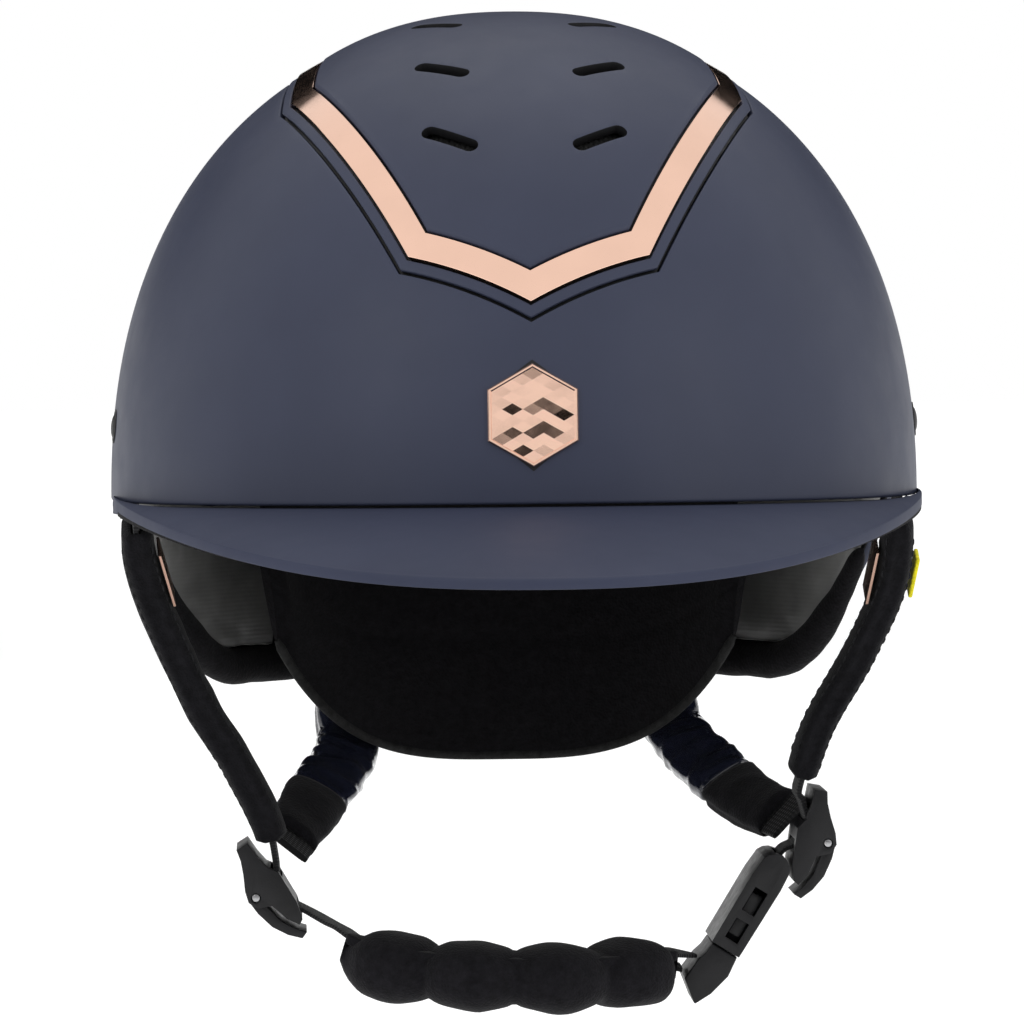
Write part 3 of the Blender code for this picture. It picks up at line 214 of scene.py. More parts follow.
class Nodes:
    """A small helper for wiring a material."""

    def __init__(self, name):
        self.material = bpy.data.materials.new(name)
        self.material.use_nodes = True
        self.tree = self.material.node_tree
        self.shader = self.tree.nodes["Principled BSDF"]

    def add(self, kind, inputs, **settings):
        """A node. A socket in inputs is linked, and anything else is set as a value."""
        node = self.tree.nodes.new(kind)
        for key, value in settings.items():
            setattr(node, key, value)
        for key, value in inputs.items():
            if isinstance(value, bpy.types.NodeSocket):
                self.link(value, node.inputs[key])
            else:
                node.inputs[key].default_value = value
        return node

    def link(self, a, b):
        self.tree.links.new(a, b)

    def place(self, attribute=None, scale=(1.0, 1.0, 1.0)):
        """Coordinates in metres: the object's own, or an attribute of the mesh."""
        if attribute:
            source = self.add("ShaderNodeAttribute", {}, attribute_name=attribute).outputs["Vector"]
        else:
            source = self.add("ShaderNodeTexCoord", {}).outputs["Object"]
        return self.add("ShaderNodeMapping", {"Scale": scale, "Vector": source}).outputs["Vector"]

    def noise(self, vector, scale, detail=3.0, roughness=0.55):
        inputs = {"Scale": scale, "Detail": detail, "Roughness": roughness, "Vector": vector}
        return self.add("ShaderNodeTexNoise", inputs).outputs["Fac"]

    def cells(self, vector, scale):
        return self.add("ShaderNodeTexVoronoi", {"Scale": scale, "Vector": vector}).outputs["Distance"]

    def wave(self, vector, scale, direction, distortion=0.0):
        inputs = {"Scale": scale, "Distortion": distortion, "Vector": vector}
        return self.add("ShaderNodeTexWave", inputs, bands_direction=direction).outputs["Fac"]

    def ramp(self, value, low, high, start=0.3, end=0.7):
        inputs = {"From Min": start, "From Max": end, "To Min": low, "To Max": high, "Value": value}
        return self.add("ShaderNodeMapRange", inputs).outputs["Result"]

    def product(self, a, b):
        return self.add("ShaderNodeMath", {0: a, 1: b}, operation="MULTIPLY").outputs["Value"]

    def tint(self, value, dark, light):
        """The base colour, from dark to light as value goes from 0 to 1."""
        inputs = {"Factor": value, "A": (*dark, 1.0), "B": (*light, 1.0)}
        mix = self.add("ShaderNodeMix", inputs, data_type="RGBA")
        self.link(mix.outputs["Result"], self.shader.inputs["Base Color"])

    def bump(self, value, distance, strength=1.0, below=None):
        inputs = {"Distance": distance, "Strength": strength, "Height": value}
        if below:
            inputs["Normal"] = below
        normal = self.add("ShaderNodeBump", inputs).outputs["Normal"]
        self.link(normal, self.shader.inputs["Normal"])
        return normal

    def rough(self, value):
        self.link(value, self.shader.inputs["Roughness"])

    def set(self, **values):
        for key, value in values.items():
            self.shader.inputs[key.replace("_", " ")].default_value = value


def coated(name, dark, light, roughness):
    """A matte soft-touch coating with a very fine texture."""
    m = Nodes(name)
    at = m.place()
    broad = m.noise(at, 26.0, 4.0)
    m.tint(m.ramp(broad, 0.0, 1.0), dark, light)
    fine = m.noise(at, 2600.0, 2.0)
    m.rough(m.ramp(m.noise(at, 90.0, 4.0), roughness - 0.03, roughness + 0.04))
    m.bump(fine, 0.00004, 0.35)
    m.set(Specular_IOR_Level=0.20)
    return m.material


def plated(name, colour, roughness):
    """Polished metallic plating with faint long scratches."""
    m = Nodes(name)
    at = m.place()
    fine = m.noise(m.place(scale=(1.0, 1.0, 8.0)), 900.0, 3.0)
    m.rough(m.ramp(m.noise(at, 160.0, 4.0), roughness, roughness + 0.07))
    m.tint(m.ramp(m.noise(at, 60.0, 3.0), 0.0, 1.0), tuple(c * 0.95 for c in colour), colour)
    m.bump(fine, 0.00002, 0.03)
    m.set(Metallic=1.0)
    return m.material


def moulded(name, colour, roughness):
    m = Nodes(name)
    at = m.place()
    m.tint(m.ramp(m.noise(at, 120.0, 4.0), 0.0, 1.0), colour, tuple(c * 1.6 for c in colour))
    m.rough(m.ramp(m.noise(at, 400.0, 3.0), roughness - 0.06, roughness + 0.08))
    m.bump(m.cells(at, 1900.0), 0.00006, 0.35)
    m.set(Specular_IOR_Level=0.28)
    return m.material


def knitted(name, colour, scale, fuzz):
    """A brushed spacer knit: small loops under a soft nap."""
    m = Nodes(name)
    at = m.place()
    loops = m.cells(at, scale)
    nap = m.noise(at, 420.0, 5.0, 0.7)
    # The raised nap is painted lighter and the low nap darker: painted shade.
    m.tint(m.ramp(nap, 0.0, 1.0), tuple(c * 0.55 for c in colour), tuple(c * 1.5 for c in colour))
    first = m.bump(loops, 0.00022, 0.7)
    m.bump(nap, 0.0004, 0.35, first)
    m.set(Roughness=0.92, Sheen_Weight=fuzz, Sheen_Roughness=0.5, Specular_IOR_Level=0.10)
    return m.material


def woven(name, colour, rib=0.00085):
    """Flat webbing: a fine rib across its length, crossed by the warp."""
    m = Nodes(name)
    at = m.place("weave")
    across = m.wave(at, math.pi / 10 / rib, "X")
    along = m.wave(at, math.pi / 10 / (rib * 1.5), "Y")
    weave = m.product(across, along)
    # The raised threads are painted lighter and the hollows between them darker: painted shade.
    m.tint(weave, tuple(c * 0.5 for c in colour), tuple(c * 1.8 for c in colour))
    m.bump(weave, 0.0003, 0.8)
    m.set(Roughness=0.82, Specular_IOR_Level=0.3, Sheen_Weight=0.1)
    return m.material


def satin(name, dark, light):
    m = Nodes(name)
    at = m.place()
    folds_and_painted_shade = m.noise(at, 55.0, 3.0)
    # The fold tops are painted lighter and the hollows darker: painted highlight and shade.
    m.tint(m.ramp(folds_and_painted_shade, 0.0, 1.0), dark, light)
    threads = m.wave(m.place(scale=(0.5, 0.5, 1.0)), 260.0, "Z", 0.6)
    first = m.bump(folds_and_painted_shade, 0.0012, 0.45)
    m.bump(threads, 0.00005, 0.3, first)
    m.set(Roughness=0.36, Specular_IOR_Level=0.6, Sheen_Weight=0.15)
    return m.material


def patent(name, colour):
    """Patent leather: a hard gloss over fine creases."""
    m = Nodes(name)
    at = m.place()
    creases = m.noise(m.place(scale=(1.0, 1.0, 1.7)), 130.0, 4.0, 0.6)
    # The crease tops are painted lighter and the creases darker: painted shade.
    m.tint(m.ramp(creases, 0.0, 1.0), colour, tuple(c * 1.7 for c in colour))
    m.rough(m.ramp(m.noise(at, 300.0, 3.0), 0.10, 0.20))
    m.bump(creases, 0.0014, 0.5)
    m.set(Specular_IOR_Level=0.4, Coat_Weight=0.7, Coat_Roughness=0.05)
    return m.material


def beads(name, colour):
    m = Nodes(name)
    at = m.place()
    cells = m.cells(at, 330.0)
    # The bead middles are painted lighter and the hollows between beads darker: painted shade.
    m.tint(m.ramp(cells, 0.0, 1.0, 0.0, 0.7), tuple(c * 1.4 for c in colour), tuple(c * 0.6 for c in colour))
    m.bump(cells, -0.0003, 0.5)
    m.set(Roughness=0.72)
    return m.material


def netting(name, colour):
    m = Nodes(name)
    at = m.place()
    grid_and_painted_shade = m.product(m.wave(at, 240.0, "X"), m.wave(at, 240.0, "Y"))
    # The threads are painted lighter and the holes darker: painted shade.
    m.tint(grid_and_painted_shade, tuple(c * 0.3 for c in colour), tuple(c * 1.6 for c in colour))
    m.bump(grid_and_painted_shade, 0.0005, 0.9)
    m.set(Roughness=0.85)
    return m.material


MAT = {
    "shell": coated("soft_touch_navy", (0.0300, 0.0350, 0.0600), (0.0345, 0.0400, 0.0680), 0.46),
    # Black for the shell's inner side; also painted shade for the vent walls, the rings round the rivets and
    # the badge's seat.
    "inner": moulded("inner_black_and_painted_shade", (0.006, 0.006, 0.007), 0.6),
    "peak": coated("peak_navy", (0.0270, 0.0320, 0.0580), (0.0310, 0.0365, 0.0660), 0.60),
    "rose": plated("rose_gold", (0.88, 0.58, 0.45), 0.10),
    # A darker copy of the rose gold, for the anchor plates: painted shade.
    "rose_painted_shade": plated("rose_gold_painted_shade", (0.42, 0.27, 0.21), 0.25),
    "plastic": moulded("black_plastic", (0.0060, 0.0060, 0.0068), 0.40),
    "foam": beads("bead_foam", (0.014, 0.014, 0.015)),
    "fabric": knitted("black_knit", (0.0050, 0.0047, 0.0056), 1150.0, 0.03),
    "plush": knitted("pad_knit", (0.0070, 0.0066, 0.0082), 1400.0, 0.05),
    "cover": knitted("cover_knit", (0.0064, 0.0062, 0.0076), 1600.0, 0.05),
    "satin": satin("grey_satin", (0.060, 0.060, 0.058), (0.120, 0.120, 0.116)),
    "piping": knitted("piping_weave", (0.014, 0.014, 0.014), 1800.0, 0.02),
    "webbing": woven("black_webbing", (0.0085, 0.0085, 0.0095)),
    "patent": patent("navy_patent", (0.0075, 0.0088, 0.0170)),
    "mesh": netting("vent_net", (0.008, 0.008, 0.009)),
    "label": knitted("yellow_tab", (0.72, 0.64, 0.02), 1500.0, 0.1),
    "steel": plated("dark_steel", (0.42, 0.42, 0.43), 0.28),
    "thread": knitted("dark_thread", (0.016, 0.016, 0.018), 2400.0, 0.1),
}

# ---- pieces ----


def linked(name, data):
    """A new object in the scene."""
    obj = bpy.data.objects.new(name, data)
    bpy.context.scene.collection.objects.link(obj)
    return obj


def make(name, verts, faces, mat, body="helmet", nodes=(), slot=None, sharp=38.0, weave=None, ride=True):
    """A mesh piece that rides on a body and may stand for CAD nodes."""
    mesh = bpy.data.meshes.new(name)
    mesh.from_pydata([tuple(v) for v in verts], [], faces)
    if weave is not None:
        layer = mesh.attributes.new("weave", "FLOAT_VECTOR", "POINT")
        layer.data.foreach_set("vector", np.asarray(weave, np.float32).ravel())
    bm = bmesh.new()
    bm.from_mesh(mesh)
    bmesh.ops.recalc_face_normals(bm, faces=bm.faces)
    bm.to_mesh(mesh)
    bm.free()
    mesh.shade_smooth()
    if sharp:
        mesh.set_sharp_from_angle(angle=math.radians(sharp))
    for one in mat if isinstance(mat, (list, tuple)) else [mat]:
        mesh.materials.append(MAT[one])
    obj = linked(name, mesh)
    if ride:
        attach(obj, body)
    if nodes:
        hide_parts(*nodes)
    return obj


def apply_modifiers(obj):
    graph = bpy.context.evaluated_depsgraph_get()
    mesh = bpy.data.meshes.new_from_object(obj.evaluated_get(graph), depsgraph=graph)
    old = obj.data
    obj.modifiers.clear()
    obj.data = mesh
    mesh.name = old.name
    bpy.data.meshes.remove(old)


def rounded(node, name, mat, width=0.0005, body="helmet"):
    """A copy of a hard CAD node with its edges rounded off, in place of the node."""
    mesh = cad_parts[node].data.copy()
    mesh.name = name
    bm = bmesh.new()
    bm.from_mesh(mesh)
    bmesh.ops.remove_doubles(bm, verts=bm.verts, dist=2e-6)
    bmesh.ops.dissolve_limit(bm, angle_limit=math.radians(1.0), verts=bm.verts, edges=bm.edges)
    bm.to_mesh(mesh)
    bm.free()
    for layer in [a.name for a in mesh.attributes if a.name == "sharp_edge" or a.name == "custom_normal"]:
        mesh.attributes.remove(mesh.attributes[layer])
    mesh.materials.clear()
    mesh.materials.append(MAT[mat])
    obj = linked(name, mesh)
    bevel = obj.modifiers.new("round", "BEVEL")
    bevel.width = width
    bevel.segments = 3
    bevel.angle_limit = math.radians(20.0)
    bevel.use_clamp_overlap = True
    bevel.harden_normals = False
    apply_modifiers(obj)
    obj.data.shade_smooth()
    obj.data.set_sharp_from_angle(angle=math.radians(40))
    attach(obj, body)
    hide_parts(node)
    return obj


def circle(centre, across, up, radius, sides):
    """Points round a centre, from the across direction towards up."""
    turns = [2 * math.pi * k / sides for k in range(sides)]
    return [tuple(centre + (across * math.cos(a) + up * math.sin(a)) * radius) for a in turns]


def ring_faces(loops, count, closed_along=False, closed_around=True):
    faces = []
    for i in range(loops if closed_along else loops - 1):
        a = i * count
        b = ((i + 1) % loops) * count
        for j in range(count if closed_around else count - 1):
            k = (j + 1) % count
            faces.append((a + j, a + k, b + k, b + j))
    return faces


def loft(sections, closed=False):
    """Points and faces of a solid through an array of loops, shaped (loops, points, 3)."""
    sections = np.asarray(sections, float)
    loops, count = sections.shape[:2]
    faces = ring_faces(loops, count, closed)
    if not closed:
        faces.append(tuple(range(count)))
        faces.append(tuple(range((loops - 1) * count, loops * count)))
    return sections.reshape(-1, 3), faces


def join(verts, faces, more_verts, more_faces):
    """Adds a mesh to the lists of one that is being gathered."""
    faces += [tuple(i + len(verts) for i in face) for face in more_faces]
    verts += [tuple(p) for p in more_verts]


def crumple(obj, depth, size, seed, squash=(1.0, 1.0, 1.0)):
    """Moves each point of a piece along its normal by smooth noise, to wrinkle it."""
    mesh = obj.data
    shift = Vector((seed * 13.7, seed * 7.3, seed * 3.1))
    normals = [v.normal.copy() for v in mesh.vertices]
    for v, n in zip(mesh.vertices, normals):
        p = Vector((v.co.x * squash[0], v.co.y * squash[1], v.co.z * squash[2])) / size + shift
        value = noise.noise(p) + 0.45 * noise.noise(p * 2.1)
        v.co += n * (value * depth)
    mesh.update()


# ---- the dome ----


def meridian():
    turn = np.radians(np.linspace(90.0, 0.0, 1441))
    share = np.clip(np.cos(turn), 0.0, 1.0) ** (2 / DOME_POWER)
    height = EQUATOR + DOME_DEPTH * np.sin(turn) ** (2 / DOME_POWER)
    below = np.linspace(EQUATOR, EQUATOR - 0.095, 300)[1:]
    share = np.concatenate([share, 1 - SKIRT_TUCK * (EQUATOR - below) ** 2])
    height = np.concatenate([height, below])
    steps = np.hypot(np.diff(share * MEAN_RADIUS), np.diff(height))
    return np.concatenate([[0.0], np.cumsum(steps)]), share, height


RUNS, SHARES, HEIGHTS = meridian()


def plan_radius(phi):
    reach = np.where(np.cos(phi) > 0, SHELL_FRONT, SHELL_REAR)
    x = np.abs(np.sin(phi) / SHELL_HALF_WIDTH) ** PLAN_POWER
    y = np.abs(np.cos(phi) / reach) ** PLAN_POWER
    return (x + y) ** (-1 / PLAN_POWER)


def surface(u, v):
    run = np.hypot(u, v)
    phi = np.arctan2(u, -v)
    radius = np.interp(run, RUNS, SHARES) * plan_radius(phi)
    return np.stack([radius * np.sin(phi), -radius * np.cos(phi), np.interp(run, RUNS, HEIGHTS)], -1)


def unit(v):
    return v / np.linalg.norm(v, axis=-1, keepdims=True)


def normals_at(u, v):
    step = 0.0015
    du = surface(u + step, v) - surface(u - step, v)
    dv = surface(u, v + step) - surface(u, v - step)
    return unit(np.cross(du, dv))


def on_flat(u, v, lift=0.0):
    """Points on the dome from flat coordinates measured from the crown."""
    u, v, lift = np.broadcast_arrays(np.asarray(u, float), np.asarray(v, float), np.asarray(lift, float))
    return surface(u, v) + normals_at(u, v) * lift[..., None]


def place(phi, run, lift=0.0):
    a = np.radians(phi)
    return on_flat(run * np.sin(a), -run * np.cos(a), lift)


def run_at(height):
    return np.interp(-np.asarray(height, float), -HEIGHTS, RUNS)


def ease(t):
    t = np.clip(t, 0.0, 1.0)
    return t * t * (3 - 2 * t)


def nape_share(phi):
    turn = np.abs((np.asarray(phi, float) + 180.0) % 360.0 - 180.0)
    return ease((turn - NAPE_TURN[0]) / (NAPE_TURN[1] - NAPE_TURN[0]))


def rim_run(phi):
    rise = 0.0017 * np.maximum(np.cos(np.radians(phi)), 0.0) ** 2
    return run_at(EQUATOR + rise - NAPE_DROP * nape_share(phi))


def liner_run(phi):
    return run_at(EQUATOR + LINER_RISE[0] - (NAPE_DROP - LINER_RISE[1]) * nape_share(phi))


def panel_outline(grow, fine=6):
    """The crown panel's outline in flat coordinates, moved outwards by grow: matching points for any grow."""
    right = [(0.0, -PANEL_TIP), (PANEL_SHOULDER[0], -PANEL_SHOULDER[1]), (PANEL_SIDE[0], -PANEL_SIDE[1])]
    right += [(u, -v) for u, v in reversed(right)]
    loop = right + [(-u, v) for u, v in reversed(right[1:-1])]
    moved = []
    for i, p in enumerate(loop):
        outs = []
        for a, b in ((loop[i - 1], p), (p, loop[(i + 1) % len(loop)])):
            length = math.hypot(b[0] - a[0], b[1] - a[1])
            outs.append(((b[1] - a[1]) / length, (a[0] - b[0]) / length))
        mitre = (outs[0][0] + outs[1][0], outs[0][1] + outs[1][1])
        fit = mitre[0] * outs[0][0] + mitre[1] * outs[0][1]
        moved.append((p[0] + mitre[0] * grow / fit, p[1] + mitre[1] * grow / fit))
    points = []
    for i, count in enumerate(EDGE_STEPS + EDGE_STEPS[::-1]):
        a, b = np.array(moved[i]), np.array(moved[(i + 1) % len(moved)])
        points += [a + (b - a) * k / (count * fine) for k in range(count * fine)]
    return np.array(points)


def around(count, run, begin=-180.0, end=180.0):
    full = end - begin > 359.0
    phi = begin + (end - begin) * np.arange(count) / (count if full else count - 1)
    a = np.radians(phi)
    return np.stack([run(phi) * np.sin(a), -run(phi) * np.cos(a)], -1)


def band(starts, ends, profile, closed=True):
    """A solid on the dome. profile is a loop of (share of the way across, extra distance, lift)."""
    starts, ends = np.asarray(starts), np.asarray(ends)
    way = unit(ends - starts)
    share, extra, lift = np.array(profile, float).T
    flat = starts[:, None] + (ends - starts)[:, None] * share[None, :, None]
    flat = flat + way[:, None] * extra[None, :, None]
    points = on_flat(flat[..., 0], flat[..., 1], np.broadcast_to(lift, flat.shape[:2]))
    return loft(points, closed)


def disc(ends, profile):
    """A solid over the crown. profile runs from the top's middle out and back: (share, extra, lift)."""
    way = unit(np.asarray(ends))
    share, extra, lift = np.array(profile, float).T
    flat = ends[None] * share[:, None, None] + way[None] * extra[:, None, None]
    points = on_flat(flat[..., 0], flat[..., 1], np.broadcast_to(lift[:, None], flat.shape[:2]))
    layers, count = points.shape[:2]
    verts = np.concatenate([points.reshape(-1, 3), on_flat([0.0, 0.0], [0.0, 0.0], [lift[0], lift[-1]])])
    faces = ring_faces(layers, count)
    top, low = layers * count, layers * count + 1
    for j in range(count):
        k = (j + 1) % count
        faces.append((top, j, k))
        faces.append((low, (layers - 1) * count + k, (layers - 1) * count + j))
    return verts, faces


def lip(radius, low, high, begin=True, steps=4):
    """Profile points (share, extra, lift) that round a band's edge over, from its side to its top."""
    share, sign = (0.0, 1.0) if begin else (1.0, -1.0)
    turns = [math.pi / 2 * i / steps for i in range(steps + 1)]
    rows = [(share, 0.0, low)]
    for a in reversed(turns):
        rows.append((share, sign * radius * (1 - math.sin(a)), high - radius * (1 - math.cos(a))))
    return rows if begin else rows[::-1]


def flat_rows(low, high, steps, lift):
    return [(t, 0.0, lift) for t in np.linspace(low, high, steps)]


# ---- shell, panel and trim ----


def make_shell():
    opening = panel_outline(TRIM_WIDTH + BEZEL_WIDTH)
    phi = np.degrees(np.arctan2(opening[:, 0], -opening[:, 1]))
    rim = opening * (rim_run(phi) / np.hypot(*opening.T))[:, None]
    wall = -SHELL_WALL
    profile = lip(0.0005, wall + 0.0004, 0.0) + flat_rows(0.03, 0.985, 44, 0.0)
    profile += lip(0.0007, wall + 0.0004, 0.0, begin=False)
    outer = len(profile)
    profile += [(1.0, -0.0004, wall)] + flat_rows(0.97, 0.04, 14, wall) + [(0.0, 0.0004, wall)]
    obj = make("shell", *band(opening, rim, profile), ["shell", "inner"], nodes=["shell_main"], slot="shell")
    count = len(profile)
    for face in obj.data.polygons:
        if all(v % count >= outer - 1 for v in face.vertices):
            face.material_index = 1
    return obj


def vent_frames():
    turn = math.radians(VENT_TURN)
    made = []
    for end in (-1, 1):
        for row in VENT_ROWS:
            for side in (-1, 1):
                u, v = side * VENT_OFFSET, end * row
                out = Vector(normals_at(np.float64(u), np.float64(v)))
                ahead = surface(u + side * 0.001 * math.cos(turn), v - end * 0.001 * math.sin(turn))
                along = Vector(ahead) - Vector(surface(np.float64(u), np.float64(v)))
                along = (along - out * along.dot(out)).normalized()
                made.append((Vector(surface(np.float64(u), np.float64(v))), along, out.cross(along), out))
    return made


def slot_outline(length, width, steps=10):
    radius = width / 2
    reach = length / 2 - radius
    outline = []
    for centre, begin in ((reach, -90), (-reach, 90)):
        for i in range(steps + 1):
            a = math.radians(begin + 180 * i / steps)
            outline.append((centre + radius * math.cos(a), radius * math.sin(a)))
    return outline


def make_panel():
    edge = panel_outline(-GAP)
    low, high = PANEL_LIFT
    share = np.linspace(0.03, 0.985, 38)
    top = [(t, 0.0, low + (high - low) * (1 - t**3)) for t in share]
    rim = [(1.0, -0.0012, low + 0.00008), (1.0, -0.0007, low - 0.00004), (1.0, -0.0003, low - 0.0002)]
    rim += [(1.0, -0.00006, low - 0.00055), (1.0, 0.0, low - 0.0009), (1.0, 0.0, SEAT_LIFT)]
    under = [(t, 0.0, SEAT_LIFT) for t in share[::-1][::2]]
    panel = make("crown_cover", *disc(edge, top + rim + under), "shell", nodes=["crown_panel"], slot="shell")
    panel.data.materials.append(MAT["inner"])
    outline = slot_outline(VENT_LENGTH, VENT_WIDTH)
    verts, faces = [], []
    for point, along, across, out in vent_frames():
        ends = [point + out * h for h in (-0.008, 0.008)]
        loops = [[tuple(end + along * p + across * q) for p, q in outline] for end in ends]
        join(verts, faces, *loft(loops))
    # The cutter's walls carry the black inner material into the slots: painted shade in the vents.
    cutter = make("vent_cutter", verts, faces, ["shell", "inner"], ride=False)
    for face in cutter.data.polygons:
        face.material_index = 1
    boolean = panel.modifiers.new("vents", "BOOLEAN")
    boolean.operation = "DIFFERENCE"
    boolean.solver = "EXACT"
    boolean.object = cutter
    boolean.material_mode = "TRANSFER"
    soften = panel.modifiers.new("soften", "BEVEL")
    soften.width = 0.0005
    soften.segments = 3
    soften.angle_limit = math.radians(55)
    apply_modifiers(panel)
    bpy.data.objects.remove(cutter, do_unlink=True)
    panel.data.shade_smooth()
    panel.data.set_sharp_from_angle(angle=math.radians(50))
    return panel


def make_surround():
    inner, outer = panel_outline(GAP), panel_outline(TRIM_WIDTH - 0.0003)
    lift, drop, chamfer = 0.0007, 0.0001, 0.0003
    profile = [(0.0, 0.0, SEAT_LIFT), (0.0, 0.0, lift - drop), (0.0, 0.00012, lift - drop + 0.0001)]
    profile += [(0.0, chamfer, lift), (0.0, chamfer + 0.0003, lift)]
    profile += flat_rows(0.3, 0.7, 3, lift)
    profile += [(1.0, -chamfer - 0.0003, lift), (1.0, -chamfer, lift), (1.0, -0.00012, lift - drop + 0.0001)]
    profile += [(1.0, 0.0, lift - drop), (1.0, 0.0, SEAT_LIFT)]
    make("trim", *band(inner, outer, profile), "rose", nodes=["trim_strip"], slot="rose_metal", sharp=12.0)
    inner, outer = panel_outline(TRIM_WIDTH + 0.0004), panel_outline(TRIM_WIDTH + BEZEL_WIDTH - 0.0009)
    profile = lip(0.0004, SEAT_LIFT, 0.0002) + flat_rows(0.3, 0.7, 3, 0.0002)
    profile += lip(0.0004, SEAT_LIFT, 0.0002, begin=False)
    make("bezel", *band(inner, outer, profile), "shell", nodes=["bezel_ring"], slot="shell")


def make_rivets():
    """Domed rivet heads, each in a dark ring of painted shade where it sinks into the shell."""
    for end, (turn, height) in (("front", FRONT_RIVET), ("rear", REAR_RIVET)):
        for sign, side in ((-1, "left"), (1, "right")):
            run = run_at(height)
            point = Vector(place(sign * turn, run))
            out = (Vector(place(sign * turn, run, 0.001)) - point).normalized()
            profile = [(-0.0055, 0.0002), (-0.0055, 0.0018), (-0.0012, 0.0021), (-0.0011, 0.0034)]
            for a in np.linspace(0.0, 1.45, 8):
                profile.append((0.0011 * math.sin(a) - 0.0001, 0.0034 * math.cos(a)))
            profile += [(0.00098, 0.0001)]
            spun(f"{end}_stud_{side}", point, out, profile, "plastic", [f"{end}_rivet_{side}"])
            # A black ring round each head: painted shade where it sinks into the shell.
            rim = [(-0.0009, 0.0036), (0.00022, 0.0036), (0.00030, 0.0040)]
            rim += [(0.00022, 0.0044), (-0.0009, 0.0046)]
            spun(f"{end}_stud_ring_{side}", point, out, rim, "inner", [], closed=True)


def spun(name, point, out, profile, mat, nodes, closed=False, sides=40):
    """A turned piece on an axis. profile lists (along, radius)."""
    across = out.orthogonal().normalized()
    up = out.cross(across)
    loops = []
    for along, radius in profile:
        loops.append(circle(point + out * along, across, up, radius, sides))
    return make(name, *loft(loops, closed), mat, nodes=nodes, slot="plastic")


def badge_frame():
    point = Vector(place(0.0, BADGE_RUN))
    out = (Vector(place(0.0, BADGE_RUN, 0.001)) - point).normalized()
    along = Vector((1.0, 0.0, 0.0))
    return point, along, out.cross(along), out


def hexagon(flats):
    radius = flats / math.sqrt(3)
    turns = [math.radians(60 * i) for i in range(6)]
    return [(radius * math.sin(a), radius * math.cos(a)) for a in turns]


def make_badge():
    """A bevelled hexagon with a plain faceted middle, in a dark seat of painted shade round its edge."""
    point, along, up, out = badge_frame()

    def at(x, y, h):
        return point + along * x + up * y + out * h

    rings = []
    for flats, lift in (
        (BADGE_FLATS, -0.0011), (BADGE_FLATS, 0.0002), (BADGE_FLATS - 0.0006, 0.0006),
        (BADGE_FLATS - 0.0014, 0.0006), (BADGE_FLATS - 0.0020, 0.0003),
    ):
        rings.append([at(x, y, lift) for x, y in hexagon(flats)])
    verts = [p for ring in rings for p in ring] + [at(0, 0, -0.0011)]
    faces = ring_faces(len(rings), 6)
    back = len(verts) - 1
    faces += [((i + 1) % 6, i, back) for i in range(6)]
    steps, size = 4, (BADGE_FLATS - 0.0020) / math.sqrt(3)
    index = {}
    for a in range(-steps, steps + 1):
        for b in range(-steps, steps + 1):
            if abs(a + b) > steps:
                continue
            x = size / steps * b * math.sin(math.radians(60))
            y = size / steps * (a + b * 0.5)
            edge = max(abs(a), abs(b), abs(a + b)) == steps
            uneven = noise.noise(Vector((a * 1.7 + 5.1, b * 1.7 + 2.3, 8.8)))
            height = 0.0003 if edge else 0.00028 + 0.00034 * uneven
            index[a, b] = len(verts)
            verts.append(at(x, y, height))
    for a, b in index:
        for second, third in (((a + 1, b), (a, b + 1)), ((a, b + 1), (a - 1, b + 1))):
            if second in index and third in index:
                faces.append((index[a, b], index[second], index[third]))
    make("badge", verts, faces, "rose", nodes=["badge_plate"], slot="rose_metal", sharp=0.3)
    # A black ring round the hexagon: painted shade in the gap where the badge sits.
    radius = (BADGE_FLATS + 0.0016) / math.sqrt(3)
    seat = []
    for size, h in ((radius, 0.00012), (radius, -0.0004), (radius * 0.5, -0.0004), (radius * 0.5, 0.00012)):
        loop = []
        for i in range(36):
            k, t = divmod(i, 6)
            a, b = math.radians(60 * k), math.radians(60 * k + 60)
            x = size * (math.sin(a) + (math.sin(b) - math.sin(a)) * t / 6)
            y = size * (math.cos(a) + (math.cos(b) - math.cos(a)) * t / 6)
            loop.append(on_flat(x, -(BADGE_RUN - y), h))
        seat.append(loop)
    make("badge_painted_shade_seat", *loft(seat, closed=True), "inner", slot="plastic")


# ---- peak ----


def peak_points(turn, t, sink):
    """Points on the peak, as the CAD model has them: t from the seam to the edge, lowered by sink."""
    phi = turn * PEAK_SPREAD / 90.0
    root = place(phi, rim_run(phi))
    root[..., 2] -= 2 * GAP
    a = np.radians(turn)
    x = PEAK_HALF_WIDTH * np.sin(a)
    y = -PEAK_BACK - (PEAK_TIP - PEAK_BACK) * np.cos(a)
    z = EQUATOR + 0.0015 - PEAK_DROP + PEAK_DROP * np.abs(x / PEAK_HALF_WIDTH) ** PEAK_SIDE_POWER
    edge = np.stack([x, y, z], -1)
    p = root + (edge - root) * t[..., None]
    swell = PEAK_CROWN * np.cos(np.radians(PEAK_FADE * turn)) * 4 * t * (1 - t)
    p[..., 2] += swell - sink
    return p


def peak_loops(turns, rows):
    """rows lists (share, sink) round the section."""
    t, sink = np.array(rows, float).T
    grid_turn = np.broadcast_to(np.asarray(turns)[:, None], (len(turns), len(t)))
    return peak_points(grid_turn.astype(float), np.broadcast_to(t, grid_turn.shape), sink)


